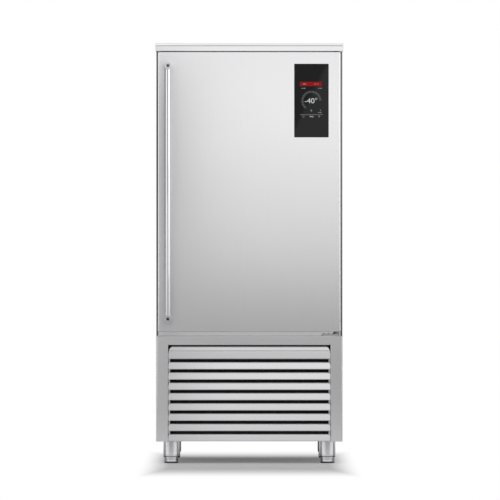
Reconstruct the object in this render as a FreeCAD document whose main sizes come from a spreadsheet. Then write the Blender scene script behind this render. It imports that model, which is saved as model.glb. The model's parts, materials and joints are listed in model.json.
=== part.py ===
"""Upright blast chiller: an insulated cabinet with one hinged door above a louvred machine bay.

The origin is at the bottom centre, on the floor. +Z is up, the door faces -Y and +X is to the
right of someone who faces the door. Lengths are in millimetres.
"""
import FreeCAD, Part
import math
import os
from collections import namedtuple

import Sketcher
from FreeCAD import Rotation, Vector

# Driving dimensions, one name for each size that can be set by itself.
DRIVING = {
    # Cabinet shell
    "sheet_wall": 1, "wall_insulation": 62, "back_insulation": 62, "roof_insulation": 61,
    "floor_insulation": 74, "chamber_corner": 16, "frame_lip": 24, "breaker_depth": 10,
    "fit_gap": 0.3,
    # Heights, from the floor up
    "foot_height": 95, "surround_height": 456, "door_gap_below": 18, "door_height": 1208,
    "door_gap_above": 4, "fascia_height": 21.5, "lid_seam": 2, "lid_height": 10.5,
    # Top rim
    "rim_side": 2, "rim_front": 3, "rim_flange": 25, "rim_bearing": 15, "rim_radius": 2,
    "seam_depth": 3, "lid_flange": 10,
    # Door
    "door_side_gap": 8, "door_thickness": 62, "door_edge": 5, "door_return": 18,
    "gasket_gap": 12, "gasket_margin": 11, "gasket_width": 18, "gasket_base": 3,
    "gasket_neck": 9, "gasket_head": 4.5, "gasket_step": 2, "field_margin": 40,
    "field_rise": 10, "field_edge": 6,
    # Hinges
    "hinge_inset": 18, "hinge_setback": 37, "pin_radius": 6, "pin_clearance": 0.05,
    "pin_reach": 22, "bush_radius": 10, "collar_radius": 13, "hinge_width": 77,
    "hinge_beyond": 13, "hinge_front": 22, "lower_plate": 8, "upper_plate": 6,
    "upper_overlap": 45, "hinge_corner": 6, "screw_radius": 5, "screw_head": 3.5,
    "screw_edge": 10, "screw_pitch": 20, "screw_count": 3,
    # Handle
    "handle_inset": 44, "handle_reach": 58, "bar_radius": 14, "bar_setback": 15,
    "post_radius": 16.5, "post_rise": 55, "post_drop": 61, "socket_radius": 7.5,
    "socket_depth": 10, "key_radius": 4.3, "key_depth": 4,
    # Display
    "display_width": 148, "display_height": 317, "display_inset": 127, "display_drop": 210,
    "glass_thickness": 4, "glass_proud": 1, "glass_clearance": 0.6, "glass_corner": 2,
    "housing_margin": 8, "housing_depth": 22, "housing_wall": 3, "glass_seat": 1,
    # Front surround of the machine bay
    "stile_width": 52.3, "rail_height": 39.1, "surround_fold": 3, "surround_return": 30,
    # Louvred grille
    "grille_clearance": 1.2, "grille_sheet": 1.2, "finger_gap": 8, "top_slat": 53.7,
    "slat_gap": 11, "slat_count": 8, "slat_flat": 20, "slat_roll": 11, "hem_radius": 2,
    "roll_radius": 9, "slat_notch_width": 10, "slat_notch_height": 12, "cheek_width": 10,
    "cheek_depth": 30, "top_flat": 34.5, "top_notch_width": 16, "top_notch_height": 38,
    "grille_pin_height": 10, "grille_pin_radius": 3, "grille_pin_length": 6,
    # Feet
    "foot_inset": 65, "foot_front": 3, "foot_back": 95, "sleeve_radius": 35,
    "sleeve_length": 65.6, "sleeve_wall": 3.8, "foot_radius": 30.85,
    # Machine bay structure
    "tray_wall": 2, "tray_edge": 30, "bay_post": 30, "vent_count": 8, "vent_pitch": 30,
    "vent_height": 8, "vent_width": 170, "filter_depth": 8, "filter_frame": 12,
    # Condenser
    "condenser_inset": 72, "condenser_room": 33, "condenser_height": 400,
    "condenser_depth": 80, "condenser_gap": 18, "coil_end": 3, "bend_count": 3,
    "groove_count": 9, "groove_width": 3, "tube_radius": 5, "bend_radius": 12.5,
    "shroud_depth": 40, "fan_radius": 170, "fan_gap": 8, "fan_hub": 34, "fan_depth": 34,
    "fan_pitch": 24, "hub_sides": 20, "blade_tip": 84, "blade_count": 5,
    "blade_thickness": 3, "blade_root": 2, "shaft_radius": 5, "motor_radius": 42, "motor_length": 78,
    # Compressor
    "compressor_inset": 127, "compressor_back": 90, "compressor_radius": 112,
    "compressor_height": 300, "crown_height": 22, "stub_radius": 10.4, "compressor_plate": 4,
    "grommet_height": 16, "grommet_radius": 14, "grommet_reach": 92,
    # Receiver, drier, electrical box, pan and cable gland
    "receiver_beside": 215, "receiver_back": 100, "receiver_radius": 55, "receiver_height": 300,
    "drier_radius": 24, "drier_length": 130, "drier_neck": 8, "box_width": 190,
    "box_height": 220, "box_depth": 150, "box_corner": 4, "box_gap": 8, "pan_width": 300,
    "pan_depth": 260, "pan_lead": 60, "pan_height": 60, "pan_wall": 2, "pan_corner": 8,
    "gland_radius": 12, "gland_flange": 18, "gland_bore": 8.5, "gland_inset": 152,
    "gland_height": 170,
    # Refrigerant pipes
    "pipe_radius": 8, "liquid_radius": 5, "pipe_bend": 18, "pipe_lift": 45, "pipe_lead": 21.6,
    "riser_inset": 202, "riser_back": 55, "riser_spacing": 60, "riser_room": 16,
    # Drain
    "drain_side": 150, "drain_back": 95, "drain_radius": 16, "drain_wall": 2, "drain_dip": 16,
    "plug_head": 22, "plug_rise": 6, "plug_stem": 24,
    # Air side of the chamber
    "coil_inset": 101, "coil_drop": 160, "coil_depth": 90, "coil_setback": 27,
    "coil_rise": 135, "panel_setback": 222, "panel_inset": 51, "panel_pipe_room": 71,
    "panel_rise": 50, "panel_drop": 15, "panel_fold": 20, "panel_radius": 3, "lug_reach": 4.5,
    "duct_gap": 5, "duct_wall": 2, "fan_opening": 150, "fan_spacing": 460, "fan_tip_gap": 6,
    "guard_wires": 7, "guard_wire": 2.5, "evaporator_motor_radius": 36, "evaporator_length": 50,
    # Tray racks
    "tray_width": 600, "tray_play": 6, "level_pitch": 70, "first_level": 50,
    "runner_width": 25, "runner_height": 16, "runner_wall": 1.5, "rack_depth": 410,
    "rack_setback": 23, "rack_gap": 21, "post_width": 33.5, "post_depth": 25,
    "rack_post_inset": 30,
    # Core probe gland in the chamber wall
    "probe_setback": 110, "probe_height": 560, "probe_radius": 14, "probe_bore": 4,
    "probe_length": 12,
}

PLANES = {"XY": ("XY_Plane", 1), "XZ": ("XZ_Plane", -1), "YZ": ("YZ_Plane", 1)}
TURNS = {"X": Rotation(Vector(0, 1, 0), 90), "Y": Rotation(Vector(1, 0, 0), -90), "Z": Rotation()}
SIDES = {"left": -1, "right": 1}

Circle = namedtuple("Circle", "across along radius")
RoundedBox = namedtuple("RoundedBox", "left low right high radius")

doc = FreeCAD.newDocument("blast_chiller")
sheet = doc.addObject("Spreadsheet::Sheet", "Sizes")
nodes = []


class Size:
    """A value of the sheet, or a formula over such values, that features are bound to."""

    def __init__(self, formula, value):
        self.formula = formula
        self.value = value

    def __add__(self, other):
        return join(self, "+", other, self.value + plain(other))

    def __radd__(self, other):
        return join(other, "+", self, plain(other) + self.value)

    def __sub__(self, other):
        return join(self, "-", other, self.value - plain(other))

    def __rsub__(self, other):
        return join(other, "-", self, plain(other) - self.value)

    def __mul__(self, other):
        return join(self, "*", other, self.value * plain(other))

    __rmul__ = __mul__

    def __truediv__(self, other):
        return join(self, "/", other, self.value / plain(other))

    def __neg__(self):
        return join(-1, "*", self, -self.value)

    def __float__(self):
        return float(self.value)


def plain(value):
    """The number that a size or a plain number stands for."""
    return value.value if isinstance(value, Size) else value


def formula_of(value):
    """The text of a size's formula, or of a plain number."""
    return value.formula if isinstance(value, Size) else repr(value)


def join(left, sign, right, value):
    """The size that two values make with one arithmetic sign."""
    return Size(f"({formula_of(left)} {sign} {formula_of(right)})", value)


class Sizes:
    """The driving dimensions by name."""

    def __init__(self, table):
        for row, (name, value) in enumerate(table.items(), start=1):
            sheet.set(f"A{row}", name)
            sheet.set(f"B{row}", str(value))
            sheet.setAlias(f"B{row}", name)
        doc.recompute()
        for name in table:
            setattr(self, name, Size(f"Sizes.{name}", sheet.get(name)))


size = Sizes(DRIVING)


def bind(target, path, value):
    """Bind one property of an object to a size."""
    target.setExpression(path, formula_of(value))


def place(item, x, y, z, turn="Z"):
    """Put an object's own origin at a point, with its own Z axis along the named axis."""
    item.Placement.Rotation = TURNS[turn]
    for axis, value in zip("xyz", (x, y, z)):
        bind(item, f".Placement.Base.{axis}", value)


# ---------------------------------------------------------------- sketches and features

def new_body(name, x=0, y=0, z=0):
    """An empty body that becomes the sub-part of this name."""
    body = doc.addObject("PartDesign::Body", name)
    body.Label = name
    place(body, x, y, z)
    nodes.append(body)
    return body


def origin_item(body, role):
    """One of the body's own origin planes or axes."""
    return [item for item in body.Origin.OriginFeatures if item.Role == role][0]


def new_sketch(body, plane, where):
    """A sketch on an origin plane, moved to a place along that plane's own axis."""
    role, sign = PLANES[plane]
    sketch = body.newObject("Sketcher::SketchObject", "Sketch")
    sketch.AttachmentSupport = [(origin_item(body, role), "")]
    sketch.MapMode = "FlatFace"
    bind(sketch, ".AttachmentOffset.Base.z", sign * where)
    return sketch


def pin_point(sketch, edge, end, across, along):
    """Hold a point of an edge at its distances from the sketch's origin."""
    for kind, value in (("DistanceX", across), ("DistanceY", along)):
        number = sketch.addConstraint(Sketcher.Constraint(kind, -1, 1, edge, end, float(value)))
        bind(sketch, f"Constraints[{number}]", value)


def draw_circle(sketch, circle):
    """A circle with its centre and radius held."""
    centre = Vector(float(circle.across), float(circle.along), 0)
    edge = sketch.addGeometry(Part.Circle(centre, Vector(0, 0, 1), float(circle.radius)), False)
    pin_point(sketch, edge, 3, circle.across, circle.along)
    number = sketch.addConstraint(Sketcher.Constraint("Radius", edge, float(circle.radius)))
    bind(sketch, f"Constraints[{number}]", circle.radius)


def draw_polygon(sketch, corners):
    """A closed outline of straight lines with every corner held."""
    points = [Vector(float(across), float(along), 0) for across, along in corners]
    first = sketch.GeometryCount
    lines = [Part.LineSegment(*ends) for ends in zip(points, points[1:] + points[:1])]
    sketch.addGeometry(lines, False)
    for number in range(len(corners)):
        after = first + (number + 1) % len(corners)
        sketch.addConstraint(Sketcher.Constraint("Coincident", first + number, 2, after, 1))
    for number, (across, along) in enumerate(corners):
        pin_point(sketch, first + number, 1, across, along)


def draw_rounded(sketch, box):
    """A rectangle with four round corners, held by the corners' centres and radius."""
    low, high = box.low + box.radius, box.high - box.radius
    left, right = box.left + box.radius, box.right - box.radius
    radius = float(box.radius)
    centres = [(left, low), (right, low), (right, high), (left, high)]
    arcs = []
    for number, (across, along) in enumerate(centres):
        circle = Part.Circle(Vector(float(across), float(along), 0), Vector(0, 0, 1), radius)
        start = math.pi + number * math.pi / 2
        arcs.append(sketch.addGeometry(Part.ArcOfCircle(circle, start, start + math.pi / 2), False))
    for number, (across, along) in enumerate(centres):
        after = arcs[(number + 1) % len(arcs)]
        ends = (sketch.getPoint(arcs[number], 2), sketch.getPoint(after, 1))
        line = sketch.addGeometry(Part.LineSegment(*ends), False)
        sketch.addConstraint(Sketcher.Constraint("Tangent", arcs[number], 2, line, 1))
        sketch.addConstraint(Sketcher.Constraint("Tangent", line, 2, after, 1))
        pin_point(sketch, arcs[number], 3, across, along)
        held = sketch.addConstraint(Sketcher.Constraint("Radius", arcs[number], radius))
        bind(sketch, f"Constraints[{held}]", box.radius)


def draw(sketch, loops):
    """Draw closed loops, each a circle, a rounded box or a list of corners."""
    for loop in loops:
        if isinstance(loop, Circle):
            draw_circle(sketch, loop)
        elif isinstance(loop, RoundedBox):
            draw_rounded(sketch, loop)
        else:
            draw_polygon(sketch, loop)


def extrude(body, plane, loops, start, stop, cut=False):
    """Pad or pocket closed loops from one place to another along the plane's own axis."""
    sketch = new_sketch(body, plane, start)
    draw(sketch, loops)
    feature = body.newObject("PartDesign::Pocket" if cut else "PartDesign::Pad", "Extrusion")
    feature.Profile = sketch
    upward = float(stop) > float(start)
    forward = upward == (PLANES[plane][1] > 0)
    bind(feature, "Length", stop - start if upward else start - stop)
    feature.Reversed = forward == cut
    if cut:
        check_cut(body, feature)
    return feature


def check_cut(body, feature):
    """Stop if a cut took nothing away."""
    doc.recompute()
    if feature.BaseFeature.Shape.Volume - feature.Shape.Volume < 1e-3:
        raise ValueError(f"a cut in {body.Label} takes nothing away")


def rectangle(left, low, right, high):
    """The corners of an upright rectangle."""
    return [(left, low), (right, low), (right, high), (left, high)]


def block(body, xs, ys, zs, cut=False):
    """Pad or pocket a box between two values on each axis."""
    return extrude(body, "XY", [rectangle(xs[0], ys[0], xs[1], ys[1])], zs[0], zs[1], cut)


def revolve(body, plane, loop, axis="V_Axis", cut=False):
    """Turn a closed outline about one of the sketch's own axes."""
    sketch = new_sketch(body, plane, 0)
    draw(sketch, [loop])
    feature = body.newObject("PartDesign::Groove" if cut else "PartDesign::Revolution", "Turning")
    feature.Profile = sketch
    feature.ReferenceAxis = (sketch, [axis])
    feature.Angle = 360
    return feature


def dress(body, kind, radius, wanted):
    """Fillet or chamfer the edges of the body's last feature that the test picks."""
    doc.recompute()
    base = body.Tip
    names = [f"Edge{n}" for n, edge in enumerate(base.Shape.Edges, 1) if wanted(edge)]
    feature = body.newObject(f"PartDesign::{kind}", kind)
    feature.Base = (base, names)
    bind(feature, "Radius" if kind == "Fillet" else "Size", radius)
    return feature


def hollow(body, wall, open_face):
    """Turn the body into a shell with its wall inside the present faces."""
    doc.recompute()
    base = body.Tip
    names = [f"Face{n}" for n, face in enumerate(base.Shape.Faces, 1) if open_face(face)]
    feature = body.newObject("PartDesign::Thickness", "Shell")
    feature.Base = (base, names)
    bind(feature, "Value", wall)
    feature.Reversed = True
    return feature


def repeat(body, axis, step, count, originals=()):
    """Repeat the named features, or else the whole body, along an axis."""
    pattern = body.newObject("PartDesign::LinearPattern", "Row")
    if originals:
        pattern.Originals = list(originals)
    else:
        pattern.TransformMode = "Whole shape"
    pattern.Direction = (origin_item(body, f"{axis}_Axis"), [""])
    pattern.Mode = "Spacing"
    bind(pattern, "Offset", step)
    bind(pattern, "Occurrences", count)
    body.Tip = pattern
    return pattern


def runs(edge, axis):
    """True for a straight edge along the named axis."""
    if not isinstance(edge.Curve, Part.Line):
        return False
    return abs(getattr(edge.Curve.Direction, axis)) > 0.999


def lies(shape, axis, value):
    """True where the whole shape lies at one value of the named axis."""
    box = shape.BoundBox
    low, high = getattr(box, f"{axis.upper()}Min"), getattr(box, f"{axis.upper()}Max")
    return abs(low - float(value)) < 0.01 and abs(high - float(value)) < 0.01


def cylinder(name, radius, length, x, y, z, turn="Z"):
    """A plain cylinder from a point along the named axis."""
    item = doc.addObject("Part::Cylinder", name)
    bind(item, "Radius", radius)
    bind(item, "Height", length)
    place(item, x, y, z, turn)
    return item


def group(name, members):
    """One sub-part that holds several like solids."""
    item = doc.addObject("Part::Compound", name)
    item.Label = name
    item.Links = members
    nodes.append(item)
    return item


def fixed_shape(name, shape, x=0, y=0, z=0):
    """A sub-part whose shape is worked out in code from the sheet's values."""
    item = doc.addObject("Part::Feature", name)
    item.Label = name
    item.Shape = shape
    item.Placement = FreeCAD.Placement(Vector(float(x), float(y), float(z)), Rotation())
    nodes.append(item)
    return item


# ---------------------------------------------------------------- frame of faces and heights

runner_outer = size.tray_width / 2 + size.tray_play + size.runner_wall
chamber_half = runner_outer + size.post_width
half_width = chamber_half + size.wall_insulation
inner_half = half_width - size.sheet_wall
body_depth = (size.rack_setback + size.rack_depth + size.rack_gap + size.panel_setback
              + size.back_insulation)
back = (body_depth + size.gasket_gap + size.door_thickness + size.handle_reach) / 2
face = back - body_depth
door_rear = face - size.gasket_gap
door_front = door_rear - size.door_thickness
handle_front = door_front - size.handle_reach

bay_floor = size.foot_height
ledge = bay_floor + size.surround_height
door_bottom = ledge + size.door_gap_below
door_top = door_bottom + size.door_height
cabinet_top = door_top + size.door_gap_above
fascia_top = cabinet_top + size.fascia_height
lid_bottom = fascia_top + size.lid_seam
lid_top = lid_bottom + size.lid_height

chamber_back = back - size.back_insulation
chamber_floor = ledge + size.floor_insulation
chamber_roof = cabinet_top - size.roof_insulation

door_half = half_width - size.door_side_gap
pivot_x = door_half - size.hinge_inset
pivot_y = door_front + size.hinge_setback
bay_back = back - size.sheet_wall
bay_top = ledge - size.sheet_wall
tray_top = bay_floor + size.tray_wall
riser_x = inner_half - size.riser_inset
riser_y = chamber_back - size.riser_back
compressor_x = inner_half - size.compressor_inset
receiver_x = compressor_x - size.receiver_beside
condenser_left = size.condenser_inset - inner_half
condenser_right = compressor_x - size.compressor_radius - size.condenser_room
condenser_width = condenser_right - condenser_left
gland_x = inner_half - size.gland_inset
drain_x = -size.drain_side
drain_y = size.drain_back


# ---------------------------------------------------------------- cabinet shell

def side_panel(name, side):
    """Outer side sheet, full height."""
    body = new_body(name)
    block(body, (side * inner_half, side * half_width), (face, back), (bay_floor, cabinet_top))


def back_panel():
    """Outer back sheet of the insulated cabinet, between the sides."""
    body = new_body("back_panel")
    block(body, (-inner_half, inner_half), (bay_back, back), (bay_top, cabinet_top))


def roof_panel():
    """Outer sheet over the roof insulation."""
    body = new_body("roof_panel")
    lower = cabinet_top - size.sheet_wall
    block(body, (-inner_half, inner_half), (face, bay_back), (lower, cabinet_top))


def riser_window():
    """Window for the two refrigerant pipes that rise into the chamber side by side."""
    room = size.riser_room
    return rectangle(riser_x - size.riser_spacing - room, riser_y - room, riser_x + room,
                     riser_y + room)


def hexagon(across, along, radius):
    """Six corners round a centre, the first one level with it."""
    half, tall = radius / 2, radius * math.sqrt(3) / 2
    return [(across + radius, along), (across + half, along + tall), (across - half, along + tall),
            (across - radius, along), (across - half, along - tall), (across + half, along - tall)]


def probe_hole():
    """Six-sided hole for the core probe's lead through a side of the chamber."""
    return hexagon(face + size.probe_setback, chamber_floor + size.probe_height, size.probe_bore)


def drain_hole(clearance):
    """Round hole for the drain pipe."""
    return Circle(drain_x, drain_y, size.drain_radius + clearance)


def bulkhead():
    """Sheet under the floor insulation that roofs the machine bay."""
    body = new_body("bulkhead")
    outline = rectangle(-inner_half, face, inner_half, bay_back)
    holes = [riser_window(), drain_hole(size.fit_gap)]
    extrude(body, "XY", [outline] + holes, bay_top, ledge)


def insulation():
    """Foam between the outer sheets and the liner."""
    body = new_body("insulation")
    wall = size.sheet_wall
    front = face + wall
    block(body, (-inner_half, inner_half), (front, bay_back), (ledge, cabinet_top - wall))
    extrude(body, "XZ", [mouth(wall)], front, chamber_back + wall, cut=True)
    for hole in (riser_window(), drain_hole(size.fit_gap)):
        extrude(body, "XY", [hole], ledge, chamber_floor, cut=True)
    extrude(body, "YZ", [probe_hole()], chamber_half, inner_half, cut=True)


def liner():
    """Chamber liner: a deep-drawn stainless box with rounded corners, open at the front."""
    body = new_body("liner")
    wall = size.sheet_wall
    front = face + size.frame_lip + size.breaker_depth
    extrude(body, "XZ", [mouth(wall)], front, chamber_back + wall)
    hollow(body, wall, lambda item: lies(item, "y", front))
    holes = [riser_window(), drain_hole(size.fit_gap)]
    extrude(body, "XY", holes, chamber_floor + wall, chamber_floor - wall, cut=True)
    extrude(body, "YZ", [probe_hole()], chamber_half - wall, chamber_half + wall, cut=True)


def mouth(depth):
    """The chamber mouth's rounded outline, set out by one sheet's depth."""
    return RoundedBox(-chamber_half - depth, chamber_floor - depth, chamber_half + depth,
                      chamber_roof + depth, size.chamber_corner + depth)


def door_frame():
    """Steel face of the cabinet round the door opening, with a lip folded into the chamber."""
    body = new_body("door_frame")
    wall = size.sheet_wall
    outline = rectangle(-inner_half, ledge, inner_half, cabinet_top - wall)
    extrude(body, "XZ", [outline, mouth(0)], face, face + wall)
    extrude(body, "XZ", [mouth(wall), mouth(0)], face + wall, face + size.frame_lip)


def breaker_strip():
    """Plastic thermal break between the steel frame's lip and the liner."""
    body = new_body("breaker_strip")
    start = face + size.frame_lip
    extrude(body, "XZ", [mouth(size.sheet_wall), mouth(0)], start, start + size.breaker_depth)


# ---------------------------------------------------------------- top rim

def rim_outline(inset):
    """Plan of the rim, set in by a distance on every side but the back's own line."""
    side = half_width + size.rim_side - inset
    return rectangle(-side, door_front - size.rim_front + inset, side, back - inset)


def top_fascia():
    """Folded band round the roof that overhangs the door and carries the upper hinge."""
    body = new_body("top_fascia")
    wall = size.sheet_wall
    extrude(body, "XY", [rim_outline(0)], cabinet_top, fascia_top)
    dress(body, "Fillet", size.rim_radius, lambda edge: runs(edge, "z"))
    hollow(body, wall, lambda item: lies(item, "z", fascia_top))
    side = half_width - size.rim_flange
    window = rectangle(-side, face + size.rim_bearing, side, back - size.rim_flange)
    extrude(body, "XY", [window], cabinet_top + wall, cabinet_top, cut=True)
    extrude(body, "XY", [rim_outline(wall), rim_outline(size.lid_flange)], fascia_top - wall,
            fascia_top)
    step = size.seam_depth
    extrude(body, "XY", [rim_outline(step), rim_outline(step + wall)], fascia_top, lid_bottom)
    pin = Circle(pivot_x, pivot_y, size.pin_radius + size.fit_gap)
    extrude(body, "XY", [pin], cabinet_top + wall, cabinet_top, cut=True)


def top_lid():
    """Folded lid that closes the top, seated on the fascia's stepped edge."""
    body = new_body("top_lid")
    extrude(body, "XY", [rim_outline(0)], lid_bottom, lid_top)
    dress(body, "Fillet", size.rim_radius, lambda edge: runs(edge, "z"))
    hollow(body, size.sheet_wall, lambda item: lies(item, "z", lid_bottom))
    extrude(body, "XY", [rim_outline(size.sheet_wall), rim_outline(size.lid_flange)],
            lid_bottom, lid_bottom + size.sheet_wall)


# ---------------------------------------------------------------- hinges

def hinge_outline(rear):
    """Plan of a hinge plate round the pivot, back to a rear line."""
    right = pivot_x + size.hinge_beyond
    return rectangle(right - size.hinge_width, pivot_y - size.hinge_front, right, rear)


def lower_hinge():
    """Lower hinge plate on the ledge, with chamfered front corners and a pin hole."""
    body = new_body("lower_hinge_plate")
    extrude(body, "XY", [hinge_outline(face)], ledge, ledge + size.lower_plate)
    dress(body, "Chamfer", size.hinge_corner, is_front_corner)
    pin = Circle(pivot_x, pivot_y, size.pin_radius)
    extrude(body, "XY", [pin], ledge + size.lower_plate, ledge, cut=True)


def upper_hinge():
    """Upper hinge plate inside the fascia, carried back over the roof sheet."""
    body = new_body("upper_hinge_plate")
    start = cabinet_top + size.sheet_wall
    extrude(body, "XY", [hinge_outline(face + size.upper_overlap)], start, start + size.upper_plate)
    foot = rectangle(pivot_x + size.hinge_beyond - size.hinge_width, face + size.rim_bearing,
                     half_width - size.rim_flange, face + size.upper_overlap)
    extrude(body, "XY", [foot], cabinet_top, start)
    dress(body, "Chamfer", size.hinge_corner, is_front_corner)
    pin = Circle(pivot_x, pivot_y, size.pin_radius)
    extrude(body, "XY", [pin], start + size.upper_plate, start, cut=True)


def is_front_corner(edge):
    """True for a hinge plate's upright edges on its front line."""
    return runs(edge, "z") and lies(edge, "y", pivot_y - size.hinge_front)


def hinge_pins():
    """Two turned pins, each with a collar that spaces the door from its plate."""
    gap = size.fit_gap
    lower = new_body("lower_hinge_pin", pivot_x, pivot_y, 0)
    seat = ledge + size.lower_plate
    profile = [(0, ledge), (size.pin_radius, ledge), (size.pin_radius, seat),
               (size.collar_radius, seat), (size.collar_radius, door_bottom - gap),
               (size.pin_radius, door_bottom - gap),
               (size.pin_radius, door_bottom + size.pin_reach), (0, door_bottom + size.pin_reach)]
    revolve(lower, "XZ", profile)
    upper = new_body("upper_hinge_pin", pivot_x, pivot_y, 0)
    head = cabinet_top + size.sheet_wall + size.upper_plate
    profile = [(0, head), (size.pin_radius, head), (size.pin_radius, cabinet_top),
               (size.collar_radius, cabinet_top), (size.collar_radius, door_top + gap),
               (size.pin_radius, door_top + gap), (size.pin_radius, door_top - size.pin_reach),
               (0, door_top - size.pin_reach)]
    revolve(upper, "XZ", profile)
    nodes.remove(lower)
    nodes.remove(upper)
    group("hinge_pins", [lower, upper])


def hinge_screws():
    """Heads of the screws that hold both hinge plates."""
    left = pivot_x + size.hinge_beyond - size.hinge_width
    lower_top = ledge + size.lower_plate
    upper_top = cabinet_top + size.sheet_wall + size.upper_plate
    spots = []
    for number in range(int(float(size.screw_count))):
        across = left + size.screw_edge + size.screw_pitch * number
        spots.append((across, face - size.screw_edge, lower_top))
        spots.append((across, face + size.upper_overlap / 2, upper_top))
    heads = []
    for number, spot in enumerate(spots):
        head = doc.addObject("Part::Prism", f"screw_head_{number}")
        bind(head, "Circumradius", size.screw_radius)
        bind(head, "Height", size.screw_head)
        place(head, *spot)
        heads.append(head)
    group("hinge_screws", heads)


# ---------------------------------------------------------------- door

def hinge_bores(body, radius):
    """Bores for the hinge bushes in the door's top and bottom."""
    bore = Circle(pivot_x, pivot_y, radius)
    extrude(body, "XY", [bore], door_bottom + size.pin_reach, door_bottom, cut=True)
    extrude(body, "XY", [bore], door_top - size.pin_reach, door_top, cut=True)


def display_window(margin):
    """Upright rectangle round the display glass, with a margin on every side."""
    centre_x = door_half - size.display_inset
    centre_z = door_top - size.display_drop
    half = size.display_width / 2 + margin
    tall = size.display_height / 2 + margin
    return rectangle(centre_x - half, centre_z - tall, centre_x + half, centre_z + tall)


def door_skin():
    """Outer door pan with rounded front edges, open at the back, with the display's window."""
    body = new_body("door_skin")
    rear = door_rear - size.sheet_wall
    block(body, (-door_half, door_half), (door_front, rear), (door_bottom, door_top))
    dress(body, "Fillet", size.door_edge, lambda edge: lies(edge, "y", door_front))
    hollow(body, size.sheet_wall, lambda item: lies(item, "y", rear))
    outer = rectangle(-door_half + size.sheet_wall, door_bottom + size.sheet_wall,
                      door_half - size.sheet_wall, door_top - size.sheet_wall)
    inner = rectangle(-door_half + size.door_return, door_bottom + size.door_return,
                      door_half - size.door_return, door_top - size.door_return)
    extrude(body, "XZ", [outer, inner], rear - size.sheet_wall, rear)
    hinge_bores(body, size.bush_radius)
    window = display_window(size.glass_clearance)
    extrude(body, "XZ", [window], door_front, door_front + size.sheet_wall, cut=True)


def door_foam():
    """Foam core of the door, cut out for the display housing and the hinge bushes."""
    body = new_body("door_foam")
    wall = size.sheet_wall
    rear = door_rear - wall
    block(body, (-door_half + wall, door_half - wall), (door_front + wall, rear - wall),
          (door_bottom + wall, door_top - wall))
    dress(body, "Fillet", size.door_edge - wall, lambda edge: lies(edge, "y", door_front + wall))
    inner = rectangle(-door_half + size.door_return, door_bottom + size.door_return,
                      door_half - size.door_return, door_top - size.door_return)
    extrude(body, "XZ", [inner], rear - wall, rear)
    hinge_bores(body, size.bush_radius)
    pocket = display_window(size.housing_margin)
    extrude(body, "XZ", [pocket], door_front + wall, door_front + wall + size.housing_depth,
            cut=True)


def field_outline(inset):
    """Raised field of the inner door panel, inside the chamber's mouth."""
    side = chamber_half - size.field_margin - inset
    return rectangle(-side, chamber_floor + size.field_margin + inset, side,
                     chamber_roof - size.field_margin - inset)


def door_liner():
    """Inner door panel with a pressed field that stands into the chamber's mouth."""
    body = new_body("door_liner")
    wall = size.sheet_wall
    front = door_rear - wall
    plate = rectangle(-door_half, door_bottom, door_half, door_top)
    extrude(body, "XZ", [plate], front, door_rear)
    extrude(body, "XZ", [field_outline(0)], door_rear, door_rear + size.field_rise)
    dress(body, "Fillet", size.field_edge,
          lambda edge: lies(edge, "y", door_rear + size.field_rise))
    extrude(body, "XZ", [field_outline(size.field_edge)], front,
            door_rear + size.field_rise - wall, cut=True)


def gasket_ring(half_section, middle):
    """Two nested rectangles that make a ring round the chamber's mouth."""
    loops = []
    for reach in (middle + half_section, middle - half_section):
        loops.append(rectangle(-chamber_half - reach, chamber_floor - reach,
                               chamber_half + reach, chamber_roof + reach))
    return loops


def door_gasket():
    """Magnetic door gasket: a base strip, a narrow bellows and a wide magnet head."""
    body = new_body("door_gasket")
    middle = size.gasket_margin + size.gasket_width / 2
    base_end = door_rear + size.gasket_base
    head_end = face - size.fit_gap
    head_start = head_end - size.gasket_head
    extrude(body, "XZ", gasket_ring(size.gasket_width / 2 - size.gasket_step, middle), door_rear,
            base_end)
    extrude(body, "XZ", gasket_ring(size.gasket_neck / 2, middle), base_end, head_start)
    extrude(body, "XZ", gasket_ring(size.gasket_width / 2, middle), head_start, head_end)
    dress(body, "Fillet", size.gasket_head / 4, lambda edge: lies(edge, "y", head_end))


def door_bushes():
    """Nylon bushes that turn on the hinge pins, pressed into the door's ends."""
    bore = size.pin_radius + size.pin_clearance
    members = []
    for name, start in (("lower", door_bottom), ("upper", door_top - size.pin_reach)):
        outer = cylinder(f"{name}_bush_body", size.bush_radius, size.pin_reach, pivot_x, pivot_y,
                         start)
        inner = cylinder(f"{name}_bush_bore", bore, size.pin_reach, pivot_x, pivot_y, start)
        bush = doc.addObject("Part::Cut", f"{name}_bush")
        bush.Base = outer
        bush.Tool = inner
        members.append(bush)
    group("door_bushes", members)


def post_heights():
    """Height of each handle post's axis."""
    return door_bottom + size.post_rise, door_top - size.post_drop


def handle():
    """Long round bar between two posts, each held by a socket-head screw."""
    bar_x = -door_half + size.handle_inset
    bar_y = handle_front + size.bar_setback
    post_bottom, post_top = post_heights()
    posts = []
    copes = []
    for name, height in (("lower", post_bottom), ("upper", post_top)):
        post = cylinder(f"{name}_handle_post", size.post_radius, size.handle_reach, bar_x,
                        handle_front, height, "Y")
        socket = cylinder(f"{name}_post_socket", size.socket_radius, size.socket_depth, bar_x,
                          handle_front, height, "Y")
        bored = doc.addObject("Part::Cut", f"{name}_bored_post")
        bored.Base = post
        bored.Tool = socket
        posts.append(bored)
        copes.append(cylinder(f"{name}_cope", size.post_radius, size.handle_reach, bar_x,
                              handle_front, height, "Y"))
    group("handle_posts", posts)
    bar = cylinder("full_bar", size.bar_radius, post_top - post_bottom, bar_x, bar_y, post_bottom)
    both = doc.addObject("Part::MultiFuse", "bar_copes")
    both.Shapes = copes
    coped = doc.addObject("Part::Cut", "handle_bar")
    coped.Label = "handle_bar"
    coped.Base = bar
    coped.Tool = both
    nodes.append(coped)


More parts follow.
